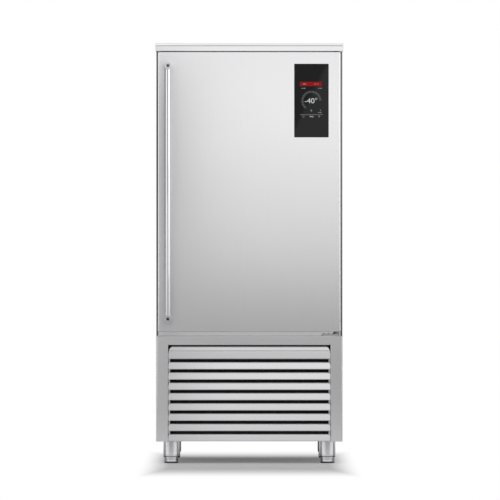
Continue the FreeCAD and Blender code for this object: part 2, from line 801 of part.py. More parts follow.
def handle_screws():
    """Hexagon-socket screws sunk in the fronts of the handle posts."""
    bar_x = -door_half + size.handle_inset
    post_bottom, post_top = post_heights()
    body = new_body("handle_screws", bar_x, handle_front, post_bottom)
    radius = size.socket_radius - size.fit_gap
    head = size.socket_depth / 2
    extrude(body, "XZ", [Circle(0, 0, radius)], head, size.socket_depth)
    extrude(body, "XZ", [hexagon(0, 0, size.key_radius)], head, head + size.key_depth, cut=True)
    repeat(body, "Z", post_top - post_bottom, 2)


def display():
    """Touch glass on the door's front and the housing that holds it in the foam."""
    glass = new_body("display_glass")
    front = door_front - size.glass_proud
    rear = front + size.glass_thickness
    extrude(glass, "XZ", [display_window(0)], front, rear)
    dress(glass, "Fillet", size.glass_corner, lambda edge: runs(edge, "y"))
    housing = new_body("display_housing")
    inside = door_front + size.sheet_wall
    end = inside + size.housing_depth
    extrude(housing, "XZ", [display_window(size.housing_margin)], inside, end)
    seat = display_window(size.glass_clearance)
    extrude(housing, "XZ", [seat], inside, rear, cut=True)
    cavity = display_window(-size.glass_seat)
    extrude(housing, "XZ", [cavity], rear, end - size.housing_wall, cut=True)


# ---------------------------------------------------------------- machine bay front

def surround():
    """Folded front surround of the machine bay: two stiles, a top rail and a ledge."""
    body = new_body("surround")
    wall = size.sheet_wall
    block(body, (-half_width, half_width), (door_front, face), (bay_floor, ledge))
    dress(body, "Fillet", size.surround_fold, is_surround_fold)
    hollow(body, wall, lambda item: lies(item, "y", face) or lies(item, "z", bay_floor))
    opening = half_width - size.stile_width
    rail = ledge - size.rail_height
    extrude(body, "XZ", [rectangle(-opening, bay_floor, opening, rail)], door_front,
            door_front + wall, cut=True)
    for side in SIDES.values():
        block(body, (side * opening, side * (opening + wall)),
              (door_front, door_front + size.surround_return), (bay_floor, rail))
    block(body, (-opening - wall, opening + wall),
          (door_front, door_front + size.surround_return / 2), (rail, rail + wall))
    pin_y, pin_z = grille_axis()
    hole = Circle(pin_y, pin_z, size.grille_pin_radius + size.pin_clearance)
    extrude(body, "YZ", [hole], -opening - wall, opening + wall, cut=True)


def is_surround_fold(edge):
    """True for the folds at the surround's front sides and along its ledge."""
    upright = runs(edge, "z") and lies(edge, "y", door_front)
    along_ledge = runs(edge, "x") and lies(edge, "y", door_front) and lies(edge, "z", ledge)
    return upright or along_ledge


def grille_axis():
    """Y and Z of the pins that the grille tilts about."""
    return (door_front + size.slat_roll + size.cheek_depth / 3,
            bay_floor + size.grille_pin_height)


def slat_section(base, flat, height):
    """Section of one folded slat: a return, an upright face and a top rolled back."""
    sheet = size.grille_sheet
    front = door_front
    roll = front + size.slat_roll
    return [(front, base), (roll + sheet / 2, base), (roll + sheet / 2, base + sheet),
            (front + sheet, base + sheet), (front + sheet, base + flat),
            (roll + sheet, base + height), (roll, base + height), (front, base + flat)]


def notches(half, top, width, height):
    """Triangles that trim a slat's two upper corners, drawn a little past its top."""
    past = top + size.grille_sheet
    loops = []
    for side in SIDES.values():
        loops.append([(side * half, top - height), (side * half, past),
                      (side * (half - width), past), (side * (half - width), top)])
    return loops


def round_slat(body, base, flat):
    """Round the hem and the roll of a slat along its length."""
    front = door_front
    dress(body, "Fillet", size.hem_radius,
          lambda edge: runs(edge, "x") and lies(edge, "y", front) and lies(edge, "z", base))
    dress(body, "Fillet", size.roll_radius,
          lambda edge: runs(edge, "x") and lies(edge, "y", front) and lies(edge, "z", base + flat))


def grille_top():
    """Upper edge of the grille's top slat."""
    return ledge - size.rail_height - size.finger_gap


def slat_pitch():
    """Distance from one slat to the next, shared out under the top slat."""
    return (grille_top() - bay_floor - size.top_slat) / size.slat_count


def grille():
    """Louvred grille: folded slats between two cheeks, with pins at the foot of the cheeks."""
    body = new_body("grille")
    half = half_width - size.stile_width - size.grille_clearance
    top = grille_top()
    slat_height = slat_pitch() - size.slat_gap
    behind = door_front + size.cheek_depth
    extrude(body, "YZ", [slat_section(bay_floor, size.slat_flat, slat_height)], -half, half)
    round_slat(body, bay_floor, size.slat_flat)
    extrude(body, "XZ", notches(half, bay_floor + slat_height, size.slat_notch_width,
                                size.slat_notch_height), behind, door_front, cut=True)
    repeat(body, "Z", slat_pitch(), size.slat_count)
    head = top - size.top_slat
    extrude(body, "YZ", [slat_section(head, size.top_flat, top - head)], -half, half)
    round_slat(body, head, size.top_flat)
    extrude(body, "XZ", notches(half, top, size.top_notch_width, size.top_notch_height),
            behind, door_front, cut=True)
    strip = door_front + size.slat_roll
    sheet = size.grille_sheet
    for side in SIDES.values():
        angle = [(side * (half - size.cheek_width), strip), (side * half, strip),
                 (side * half, strip + size.cheek_depth * 2 / 3),
                 (side * (half - sheet), strip + size.cheek_depth * 2 / 3),
                 (side * (half - sheet), strip + sheet),
                 (side * (half - size.cheek_width), strip + sheet)]
        extrude(body, "XY", [angle], bay_floor, top - size.top_notch_height)
    pin_y, pin_z = grille_axis()
    for side in SIDES.values():
        extrude(body, "YZ", [Circle(pin_y, pin_z, size.grille_pin_radius)], side * half,
                side * (half + size.grille_pin_length))


def condenser_filter():
    """Dark mesh filter in a frame, standing on the tray behind the grille."""
    body = new_body("condenser_filter")
    opening = half_width - size.stile_width
    start = door_front + size.surround_return + size.slat_roll
    top = ledge - size.rail_height
    extrude(body, "XZ", [rectangle(-opening, tray_top, opening, top)], start,
            start + size.filter_depth)
    rim = size.filter_frame
    field = rectangle(-opening + rim, tray_top + rim, opening - rim, top - rim)
    extrude(body, "XZ", [field], start, start + size.filter_depth / 4, cut=True)
    for side in SIDES.values():
        block(body, (side * (opening - rim), side * opening),
              (door_front + size.surround_return, start), (top - rim, top))


# ---------------------------------------------------------------- base and feet

def base_tray():
    """Base tray of the machine bay with upturned edges at its sides and back."""
    body = new_body("base_tray")
    wall = size.tray_wall
    front = door_front + size.surround_return + size.slat_roll - wall
    block(body, (-inner_half, inner_half), (front, bay_back), (bay_floor, tray_top))
    rim = tray_top + size.tray_edge
    block(body, (-inner_half, inner_half), (bay_back - wall, bay_back), (tray_top, rim))
    block(body, (-inner_half + wall, inner_half - wall), (front, front + wall),
          (tray_top, tray_top + size.filter_frame / 2))
    for side in SIDES.values():
        block(body, (side * inner_half, side * (inner_half - wall)), (front, bay_back),
              (tray_top, rim))


def bay_posts():
    """Four angle posts that carry the insulated cabinet on the base tray."""
    body = new_body("bay_posts")
    wall = size.tray_wall
    leg = size.bay_post
    outer = inner_half - wall
    for side in SIDES.values():
        for corner, inward in ((face + size.sheet_wall, 1), (bay_back - wall, -1)):
            outline = [(side * outer, corner), (side * (outer - leg), corner),
                       (side * (outer - leg), corner + inward * wall),
                       (side * (outer - wall), corner + inward * wall),
                       (side * (outer - wall), corner + inward * leg),
                       (side * outer, corner + inward * leg)]
            extrude(body, "XY", [outline], tray_top, bay_top)


def foot_places():
    """Centre of each foot by name."""
    x = half_width - size.foot_inset
    return {"foot_front_left": (-x, face + size.foot_front),
            "foot_front_right": (x, face + size.foot_front),
            "foot_back_left": (-x, back - size.foot_back),
            "foot_back_right": (x, back - size.foot_back)}


def foot_sleeves():
    """Four tubes under the base tray that the feet slide in, each closed at its top."""
    members = []
    bottom = bay_floor - size.sleeve_length
    for name, (x, y) in foot_places().items():
        outer = cylinder(f"{name}_tube", size.sleeve_radius, size.sleeve_length, x, y, bottom)
        bore = cylinder(f"{name}_bore", size.sleeve_radius - size.sleeve_wall,
                        size.sleeve_length - size.sleeve_wall, x, y, bottom)
        sleeve = doc.addObject("Part::Cut", f"{name}_sleeve")
        sleeve.Base = outer
        sleeve.Tool = bore
        members.append(sleeve)
    group("foot_sleeves", members)


def foot(name, x, y):
    """Adjustable foot: a turned cylinder that slides in its sleeve."""
    body = new_body(name, x, y, 0)
    extrude(body, "XY", [Circle(0, 0, size.foot_radius)], 0, bay_floor - size.sleeve_wall)


def rear_vent():
    """Removable back sheet of the machine bay with two columns of slots and a gland hole."""
    body = new_body("rear_vent")
    bottom = bay_floor
    block(body, (-inner_half, inner_half), (bay_back, back), (bottom, bay_top))
    first = bay_top - size.vent_pitch * size.vent_count
    slots = []
    for side in SIDES.values():
        near = size.vent_pitch
        slots.append(rectangle(*sorted_ends(side * near, side * (near + size.vent_width), first,
                                            first + size.vent_height)))
    slot = extrude(body, "XZ", slots, bay_back, back, cut=True)
    repeat(body, "Z", size.vent_pitch, size.vent_count, [slot])
    hole = Circle(gland_x, size.gland_height, size.gland_radius)
    extrude(body, "XZ", [hole], bay_back, back, cut=True)


def sorted_ends(left, right, low, high):
    """Rectangle ends with the smaller value across first."""
    if float(left) > float(right):
        left, right = right, left
    return left, low, right, high


def cable_gland():
    """Bored gland for the supply cable in the rear sheet, with a six-sided body inside."""
    body = new_body("cable_gland", gland_x, 0, size.gland_height)
    bore = Circle(0, 0, size.gland_bore)
    nut = hexagon(0, 0, size.gland_flange)
    extrude(body, "XZ", [nut, bore], bay_back - size.gland_radius, bay_back)
    extrude(body, "XZ", [Circle(0, 0, size.gland_radius), bore], bay_back, back)


# ---------------------------------------------------------------- machine bay

def coil(name, left, front, bottom, width, depth, height):
    """Finned heat exchanger: a grooved core between two end plates, with mitred return bends."""
    body = new_body(name)
    end = size.coil_end
    right = left + width
    top = bottom + height
    block(body, (left + end, right - end), (front, front + depth), (bottom, top))
    pitch = width / (size.groove_count + 1)
    slot = rectangle(left + pitch, front, left + pitch + size.groove_width,
                     front + size.groove_width)
    groove = extrude(body, "XY", [slot], bottom, top, cut=True)
    repeat(body, "X", pitch, size.groove_count, [groove])
    for near, far in ((left, left + end), (right - end, right)):
        block(body, (near, far), (front, front + depth + size.coil_setback), (bottom, top))
    step = height / size.bend_count
    bend_y = front + depth / 3
    tube_half = size.tube_radius
    bend = extrude(body, "XZ", [hexagon(right, bottom + step / 2, size.bend_radius + tube_half),
                                hexagon(right, bottom + step / 2, size.bend_radius - tube_half)],
                   bend_y - tube_half, bend_y + tube_half)
    repeat(body, "Z", step, size.bend_count, [bend])


def condenser_front():
    """Front line of the condenser, behind the filter."""
    start = door_front + size.surround_return + size.slat_roll
    return start + size.filter_depth + size.condenser_gap


def condenser():
    """Condenser coil on the base tray."""
    coil("condenser_coil", condenser_left, condenser_front(), tray_top,
         condenser_width, size.condenser_depth, size.condenser_height)


def fan_centre():
    """Centre of the condenser fan in X and Z."""
    return (condenser_left + condenser_width / 2,
            tray_top + size.condenser_height / 2)


def condenser_shroud():
    """Fan shroud behind the condenser, with the strap that carries the fan's motor."""
    body = new_body("condenser_shroud")
    x, z = fan_centre()
    front = condenser_front() + size.condenser_depth + size.coil_setback
    rear = front + size.shroud_depth
    half = condenser_width / 2
    tall = size.condenser_height / 2
    outer = rectangle(x - half, z - tall, x + half, z + tall)
    extrude(body, "XZ", [outer], front, rear)
    wall = size.tray_wall
    inner = rectangle(x - half + wall, z - tall + wall, x + half - wall, z + tall - wall)
    extrude(body, "XZ", [inner], front, rear - wall, cut=True)
    opening = Circle(x, z, size.fan_radius + size.fan_tip_gap)
    extrude(body, "XZ", [opening], rear - wall, rear, cut=True)
    strap_end = motor_rear() + wall
    strap = size.motor_radius / 2
    for side in SIDES.values():
        outer_x = x + side * half
        block(body, (outer_x, outer_x - side * wall), (rear, strap_end), (z - strap, z + strap))
    block(body, (x - half, x + half), (motor_rear(), strap_end), (z - strap, z + strap))


def fan_start():
    """Front line of the condenser fan's hub."""
    front = condenser_front() + size.condenser_depth + size.coil_setback
    return front + size.shroud_depth - size.fan_depth / 2


def motor_front():
    """Front line of the condenser fan's motor."""
    return fan_start() + size.fan_depth + size.fan_gap


def motor_rear():
    """Rear line of the condenser fan's motor."""
    return motor_front() + size.motor_length


def motor_shape(name, radius, length, hub_front, hub_depth, x, z):
    """A motor can with its shaft pointing forward into a fan hub."""
    body = new_body(name, x, 0, z)
    front = hub_front + hub_depth + size.fan_gap
    shaft = size.shaft_radius
    tip = hub_front + hub_depth / 4
    profile = [(0, tip), (shaft, tip), (shaft, front), (radius, front),
               (radius, front + length), (0, front + length)]
    revolve(body, "XY", profile)
    return body


def rotor(name, radius, x, front, z):
    """Axial fan: a many-sided hub bored for its shaft, with flat pitched blades."""
    depth = float(size.fan_depth)
    hub_radius = float(size.fan_hub)
    reach = float(radius)
    axis = Vector(0, 1, 0)
    sides = int(float(size.hub_sides))
    turns = [2 * math.pi * number / sides for number in range(sides)]
    rim = [Vector(hub_radius * math.cos(turn), 0, hub_radius * math.sin(turn)) for turn in turns]
    hub = Part.Face(Part.makePolygon(rim + rim[:1])).extrude(axis * depth)
    bore_start = depth / 4 - float(size.fit_gap)
    bore = Part.makeCylinder(float(size.shaft_radius + size.pin_clearance), depth - bore_start,
                             Vector(0, bore_start, 0), axis)
    pitch = float(size.fan_pitch)
    thick = float(size.blade_thickness)
    half_tip = float(size.blade_tip) / 2
    root = hub_radius / math.sqrt(2) - float(size.blade_root)
    shoulder = math.sqrt(reach ** 2 - half_tip ** 2)
    outline = [Vector(across, -thick / 2, along) for across, along in (
        (root, -root), (shoulder, -half_tip), (reach - thick, 0), (shoulder, half_tip / 2),
        (root, root))]
    blade = Part.Face(Part.makePolygon(outline + outline[:1])).extrude(axis * thick)
    blade.rotate(Vector(0, 0, 0), Vector(1, 0, 0), pitch)
    blade.translate(axis * (depth / 2))
    count = int(float(size.blade_count))
    whole = hub
    for number in range(count):
        turned = blade.copy()
        turned.rotate(Vector(0, 0, 0), axis, 360 / count * number)
        whole = whole.fuse(turned)
    fixed_shape(name, whole.cut(bore).removeSplitter(), x, front, z)


def condenser_fan():
    """Condenser fan and its motor."""
    x, z = fan_centre()
    rotor("condenser_fan", size.fan_radius, x, fan_start(), z)
    motor_shape("condenser_motor", size.motor_radius, size.motor_length, fan_start(),
                size.fan_depth, x, z)


def compressor():
    """Hermetic compressor: a can with a sloped crown, a foot plate, pipe stubs and a relay."""
    plate_top = tray_top + size.grommet_height + size.compressor_plate
    body = new_body("compressor", compressor_x, size.compressor_back, plate_top)
    radius = size.compressor_radius
    height = size.compressor_height
    crown = size.crown_height
    revolve(body, "XZ", [(0, 0), (radius, 0), (radius, height - crown),
                         (radius - crown, height), (0, height)])
    reach = size.grommet_reach + size.grommet_radius
    extrude(body, "XY", [rectangle(-reach, -reach, reach, reach)], -size.compressor_plate, 0)
    for along in (size.pipe_bend, -size.pipe_bend):
        stub = hexagon(riser_x - compressor_x, along, size.stub_radius)
        extrude(body, "XY", [stub], height, height + size.pipe_radius * 2)
    side = radius + size.pipe_bend
    block(body, (-size.motor_radius, size.motor_radius), (radius / 2, side),
          (height / 2 + size.motor_radius / 2, height / 2 + size.motor_radius * 2))


def compressor_grommets():
    """Four eight-sided rubber feet between the compressor's plate and the base tray."""
    members = []
    for side in SIDES.values():
        for end in SIDES.values():
            grommet = doc.addObject("Part::Prism", f"grommet_{side}_{end}")
            grommet.Polygon = 8
            bind(grommet, "Circumradius", size.grommet_radius)
            bind(grommet, "Height", size.grommet_height)
            place(grommet, compressor_x + side * size.grommet_reach,
                  size.compressor_back + end * size.grommet_reach, tray_top)
            members.append(grommet)
    group("compressor_grommets", members)


def receiver():
    """Liquid receiver: an upright pressure vessel with its outlet on top."""
    body = new_body("liquid_receiver", receiver_x, size.receiver_back, tray_top)
    height = size.receiver_height
    extrude(body, "XY", [Circle(0, 0, size.receiver_radius)], 0, height)
    extrude(body, "XY", [hexagon(0, 0, size.pipe_radius)], height, height + size.pipe_radius)


def drier_ends():
    """The filter drier's front and rear ends, midway between the receiver and the riser."""
    start = (size.receiver_back + riser_y - size.drier_length) / 2
    return start, start + size.drier_length


def filter_drier():
    """Filter drier in the liquid line: a can with a six-sided neck at each end."""
    start, end = drier_ends()
    body = new_body("filter_drier", receiver_x, 0, drier_height())
    neck = hexagon(0, 0, size.drier_neck)
    shoulder = size.drier_radius / 2
    extrude(body, "XZ", [Circle(0, 0, size.drier_radius)], start + shoulder, end - shoulder)
    extrude(body, "XZ", [neck], start, start + shoulder)
    extrude(body, "XZ", [neck], end - shoulder, end)


def drier_height():
    """Height of the filter drier's axis, over the receiver."""
    return tray_top + size.receiver_height + size.pipe_radius + size.pipe_bend * 2


def tube(points, radius, bend):
    """A pipe of six flats along straight runs joined by tangent arcs."""
    corners = [Vector(*(float(value) for value in point)) for point in points]
    edges = []
    start = corners[0]
    for before, corner, after in zip(corners, corners[1:], corners[2:]):
        inward = (before - corner).normalize()
        onward = (after - corner).normalize()
        half_turn = (math.pi - inward.getAngle(onward)) / 2
        first = corner + inward * (bend * math.tan(half_turn))
        last = corner + onward * (bend * math.tan(half_turn))
        toward_centre = (inward + onward).normalize()
        middle = corner + toward_centre * (bend / math.cos(half_turn) - bend)
        edges.append(Part.LineSegment(start, first).toShape())
        edges.append(Part.Arc(first, middle, last).toShape())
        start = last
    edges.append(Part.LineSegment(start, corners[-1]).toShape())
    along = (corners[1] - corners[0]).normalize()
    spoke = Vector(along.y, along.z, along.x) * radius
    flats = [Rotation(along, 60 * number).multVec(spoke) + corners[0] for number in range(6)]
    return Part.Wire(edges).makePipeShell([Part.makePolygon(flats + flats[:1])], True, False)


def refrigerant_pipes():
    """Suction, discharge and liquid lines between the machine bay and the evaporator."""
    suction_x = riser_x
    liquid_x = riser_x - size.riser_spacing
    coil_bottom = chamber_floor + size.coil_rise
    stub_top = (tray_top + size.grommet_height + size.compressor_plate + size.compressor_height
                + size.pipe_radius * 2)
    over = stub_top + size.pipe_lift
    suction_y = size.compressor_back + size.pipe_bend
    discharge_y = size.compressor_back - size.pipe_bend
    coil_right = condenser_right
    inlet_y = condenser_front() + size.condenser_depth * 2 / 3
    inlet_z = tray_top + size.condenser_height - size.pipe_bend * 2
    outlet_z = tray_top + size.pipe_bend * 2
    wide = float(size.pipe_radius)
    narrow = float(size.liquid_radius)
    bend = float(size.pipe_bend)
    drier_start, drier_end = drier_ends()
    drier_z = drier_height()
    receiver_top = tray_top + size.receiver_height + size.pipe_radius
    beside = coil_right + size.pipe_lead
    lines = [
        tube([(suction_x, riser_y, coil_bottom), (suction_x, riser_y, over),
              (suction_x, suction_y, over), (suction_x, suction_y, stub_top)], wide, bend),
        tube([(suction_x, discharge_y, stub_top), (suction_x, discharge_y, over),
              (suction_x, inlet_y, over), (suction_x, inlet_y, inlet_z),
              (coil_right, inlet_y, inlet_z)], narrow, bend),
        tube([(coil_right, inlet_y, outlet_z), (beside, inlet_y, outlet_z),
              (beside, size.receiver_back, outlet_z),
              (receiver_x + size.receiver_radius, size.receiver_back, outlet_z)],
             narrow, bend),
        tube([(receiver_x, size.receiver_back, receiver_top),
              (receiver_x, size.receiver_back, drier_z),
              (receiver_x, drier_start, drier_z)], narrow, bend),
        tube([(receiver_x, drier_end, drier_z), (receiver_x, riser_y, drier_z),
              (liquid_x, riser_y, drier_z), (liquid_x, riser_y, coil_bottom)], narrow, bend),
    ]
    fixed_shape("refrigerant_pipes", Part.makeCompound(lines))


def electrical_box():
    """Closed control box on the right side panel, with round edges on its inner side."""
    body = new_body("electrical_box")
    left = inner_half - size.box_width
    front = face + size.bay_post + size.box_gap
    top = bay_top - size.bay_post
    block(body, (left, inner_half), (front, front + size.box_depth), (top - size.box_height, top))
    dress(body, "Fillet", size.box_corner, lambda edge: lies(edge, "x", left))


def condensate_pan():
    """Open pan under the chamber's drain."""
    body = new_body("condensate_pan")
    left = drain_x - size.pan_width / 2
    front = drain_y - size.pan_lead
    block(body, (left, left + size.pan_width), (front, front + size.pan_depth),
          (tray_top, tray_top + size.pan_height))
    dress(body, "Fillet", size.pan_corner, lambda edge: runs(edge, "z"))
    hollow(body, size.pan_wall, lambda item: lies(item, "z", tray_top + size.pan_height))


def drain_pipe():
    """Drain pipe from the chamber's floor into the condensate pan."""
    body = new_body("drain_pipe")
    bottom = tray_top + size.pan_height - size.drain_dip
    outer = Circle(drain_x, drain_y, size.drain_radius)
    inner = Circle(drain_x, drain_y, size.drain_radius - size.drain_wall)
    extrude(body, "XY", [outer, inner], bottom, chamber_floor)


def drain_plug():
    """Lift-out plug in the chamber's drain, with a six-sided grip on its head."""
    body = new_body("drain_plug", drain_x, drain_y, chamber_floor)
    stem = size.drain_radius - size.drain_wall - size.fit_gap
    seat = size.plug_rise / 2
    extrude(body, "XY", [Circle(0, 0, stem)], -size.plug_stem, 0)
    extrude(body, "XY", [Circle(0, 0, size.plug_head)], 0, seat)
    extrude(body, "XY", [hexagon(0, 0, size.plug_head / 3)], seat, size.plug_rise)


# ---------------------------------------------------------------- inside the chamber

def evaporator():
    """Evaporator coil on the chamber's back wall."""
    front = chamber_back - size.coil_setback - size.coil_depth
    left = size.coil_inset - chamber_half
    bottom = chamber_floor + size.coil_rise
    coil("evaporator_coil", left, front, bottom, left * -2, size.coil_depth,
         chamber_roof - size.coil_drop - bottom)


def panel_front():
    """Front line of the fan panel."""
    return chamber_back - size.panel_setback


def panel_bottom():
    """Lower line of the fan panel."""
    return chamber_floor + size.panel_rise


def panel_height():
    """Height of the fan panel, up to its gap under the chamber's roof."""
    return chamber_roof - size.panel_drop - panel_bottom()


def panel_left():
    """Left edge of the fan panel, on its hinge's side."""
    return size.panel_inset - chamber_half


def panel_right():
    """Right edge of the fan panel, beside the room for the pipes."""
    return chamber_half - size.panel_pipe_room


def panel_axis():
    """X and Y of the pins that the fan panel swings on."""
    return (panel_left() - size.panel_radius * 2, panel_front() + size.panel_radius * 2)


def knuckle_heights():
    """Lower end of each of the fan panel's two hinge knuckles."""
    low = panel_bottom() + size.panel_fold * 3
    return low, low + panel_height() - size.panel_fold * 8


def fan_heights():
    """Height of each evaporator fan's axis."""
    middle = panel_bottom() + panel_height() / 2
    return middle - size.fan_spacing / 2, middle + size.fan_spacing / 2


def fan_x():
    """X of both evaporator fans' axes."""
    return (panel_left() + panel_right()) / 2


def fan_panel():
    """Hinged baffle with two fan openings, bar guards, motor straps and hinge knuckles."""
    body = new_body("fan_panel")
    front = panel_front()
    bottom = panel_bottom()
    left = panel_left()
    wall = size.runner_wall
    fold = front + size.panel_fold
    block(body, (left, panel_right()), (front, fold), (bottom, bottom + panel_height()))
    hollow(body, wall, lambda item: lies(item, "y", fold))
    openings = [Circle(fan_x(), height, size.fan_opening) for height in fan_heights()]
    extrude(body, "XZ", openings, front, front + wall, cut=True)
    wire = size.guard_wire
    reach = size.fan_opening + wire
    step = size.fan_opening * 2 / (size.guard_wires + 1)
    for height in fan_heights():
        low = height - size.fan_opening + step
        across = rectangle(fan_x() - reach, low - wire / 2, fan_x() + reach, low + wire / 2)
        bar = extrude(body, "XZ", [across], front, front + wire)
        repeat(body, "Z", step, size.guard_wires, [bar])
        extrude(body, "XZ", [rectangle(fan_x() - wire / 2, height - reach, fan_x() + wire / 2,
                                       height + reach)], front, front + wire)
        motor_strap(body, height)
    axis_x, axis_y = panel_axis()
    barrel = size.panel_radius * 2
    for start in knuckle_heights():
        extrude(body, "XY", [rectangle(axis_x, front, left + wall, front + barrel)], start,
                start + size.panel_fold * 2)
        extrude(body, "XY", [Circle(axis_x, axis_y, barrel)], start, start + size.panel_fold * 2)
    bore = Circle(axis_x, axis_y, size.panel_radius + size.pin_clearance)
    extrude(body, "XY", [bore], bottom, bottom + panel_height(), cut=True)


def motor_strap(body, height):
    """U-shaped strap behind a fan opening that carries the motor."""
    wall = size.duct_wall
    rear = evaporator_fan_front() + size.fan_depth + size.fan_gap + size.evaporator_length
    half = size.fan_opening + size.fan_hub / 2
    strap = size.shaft_radius * 2
    for side in SIDES.values():
        edge = fan_x() + side * half
        block(body, (edge, edge - side * wall), (panel_front() + size.runner_wall, rear + wall),
              (height - strap, height + strap))
    block(body, (fan_x() - half, fan_x() + half), (rear, rear + wall),
          (height - strap, height + strap))


def evaporator_fan_front():
    """Front line of the evaporator fans' hubs, behind their guards."""
    return panel_front() + size.guard_wire * 2


def evaporator_fans():
    """Two evaporator fans and their motors on the fan panel."""
    motors = []
    for name, height in zip(("lower", "upper"), fan_heights()):
        rotor(f"evaporator_fan_{name}", size.fan_opening - size.fan_tip_gap, fan_x(),
              evaporator_fan_front(), height)
        motor = motor_shape(f"{name}_evaporator_motor", size.evaporator_motor_radius,
                            size.evaporator_length, evaporator_fan_front(), size.fan_depth,
                            fan_x(), height)
        nodes.remove(motor)
        motors.append(motor)
    group("evaporator_motors", motors)


def duct_frame():
    """Plates at both ends of the evaporator that close the air duct and hinge the fan panel."""
    body = new_body("duct_frame")
    axis_x, axis_y = panel_axis()
    wall = size.duct_wall
    bottom = panel_bottom()
    top = bottom + panel_height()
    plate = axis_x - size.panel_radius * 2
    block(body, (plate - wall, plate), (axis_y + size.panel_radius, chamber_back), (bottom, top))
    lug = size.lug_reach
    for start in knuckle_heights():
        for low in (start - lug - size.fit_gap, start + size.panel_fold * 2 + size.fit_gap):
            block(body, (plate - wall, axis_x + lug),
                  (axis_y - size.panel_radius, axis_y + size.panel_radius * 6),
                  (low, low + lug))
        extrude(body, "XY", [Circle(axis_x, axis_y, size.panel_radius)], start - lug,
                start + size.panel_fold * 2 + lug)
    right = panel_right() + size.duct_gap
    stop = panel_front() + size.panel_fold + size.fit_gap
    block(body, (right, right + wall), (stop, chamber_back), (bottom, top))
    block(body, (right - size.panel_fold, right), (stop, stop + wall), (bottom, top))


def rack_front():
    """Front line of the tray racks."""
    return face + size.rack_setback


def level_count():
    """Number of tray levels that the chamber's height has room for."""
    room = (chamber_roof - chamber_floor - size.first_level) / size.level_pitch
    return Size(f"floor({room.formula})", math.floor(room.value))


def rack_posts():
    """Four channel posts on the chamber's side walls."""
    body = new_body("rack_posts")
    wall = size.runner_wall
    low = chamber_floor + size.chamber_corner
    high = chamber_roof - size.chamber_corner
    inner = runner_outer
    for side in SIDES.values():
        for front in (rack_front() + size.rack_post_inset,
                      rack_front() + size.rack_depth - size.rack_post_inset - size.post_depth):
            rear = front + size.post_depth
            channel = [(side * chamber_half, front), (side * inner, front), (side * inner, rear),
                       (side * chamber_half, rear), (side * chamber_half, rear - wall),
                       (side * (inner + wall), rear - wall), (side * (inner + wall), front + wall),
                       (side * chamber_half, front + wall)]
            extrude(body, "XY", [channel], low, high)


def tray_runners(name, side):
    """Angle runners for one side of every tray level."""
    body = new_body(name)
    wall = size.runner_wall
    outer = runner_outer
    inner = outer - size.runner_width
    low = chamber_floor + size.first_level
    angle = [(side * outer, low), (side * inner, low), (side * inner, low + wall),
             (side * (outer - wall), low + wall), (side * (outer - wall), low + size.runner_height),
             (side * outer, low + size.runner_height)]
    extrude(body, "XZ", [angle], rack_front(), rack_front() + size.rack_depth)
    repeat(body, "Z", size.level_pitch, level_count())


def probe_gland():
    """Six-sided bored gland for the core probe on the chamber's right wall."""
    body = new_body("probe_gland", 0, face + size.probe_setback,
                    chamber_floor + size.probe_height)
    bore = Circle(0, 0, size.probe_bore)
    extrude(body, "YZ", [hexagon(0, 0, size.probe_radius), bore], chamber_half - size.probe_length,
            chamber_half)


# ---------------------------------------------------------------- sub-part list

for side_name, side_sign in SIDES.items():
    side_panel(f"side_panel_{side_name}", side_sign)
    tray_runners(f"tray_runners_{side_name}", side_sign)
for foot_name, (foot_x, foot_y) in foot_places().items():
    foot(foot_name, foot_x, foot_y)
for make in (back_panel, roof_panel, bulkhead, insulation, liner, door_frame, breaker_strip,
             top_fascia, top_lid, lower_hinge, upper_hinge, hinge_pins, hinge_screws,
             door_skin, door_foam, door_liner, door_gasket, door_bushes, handle, handle_screws,
             display, surround, grille, condenser_filter, base_tray, bay_posts, foot_sleeves,
             rear_vent, cable_gland, condenser, condenser_shroud, condenser_fan, compressor,
             compressor_grommets, receiver, filter_drier, refrigerant_pipes, electrical_box,
             condensate_pan, drain_pipe, drain_plug, evaporator, fan_panel, evaporator_fans,
             duct_frame, rack_posts, probe_gland):
    make()
doc.recompute()


def check_model():
    """Stop if any object failed or any sub-part has no valid shape."""
    for item in doc.Objects:
        if any(word in ("Invalid", "Error") for word in item.State):
            raise ValueError(f"{item.Name} ({item.Label}) failed: {item.State}")
    for node in nodes:
        if node.Shape.isNull() or not node.Shape.isValid():
            raise ValueError(f"{node.Label} has no valid shape")


check_model()
os.makedirs("parts", exist_ok=True)
for node in nodes:
    node.Shape.exportStep(f"parts/{node.Label}.step")
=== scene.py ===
"""Blast chiller: the finished look of an upright stainless cabinet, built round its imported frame.

Lengths are metres. The origin is on the floor under the middle, +Z is up and the door faces -Y.
"""
import json
import math

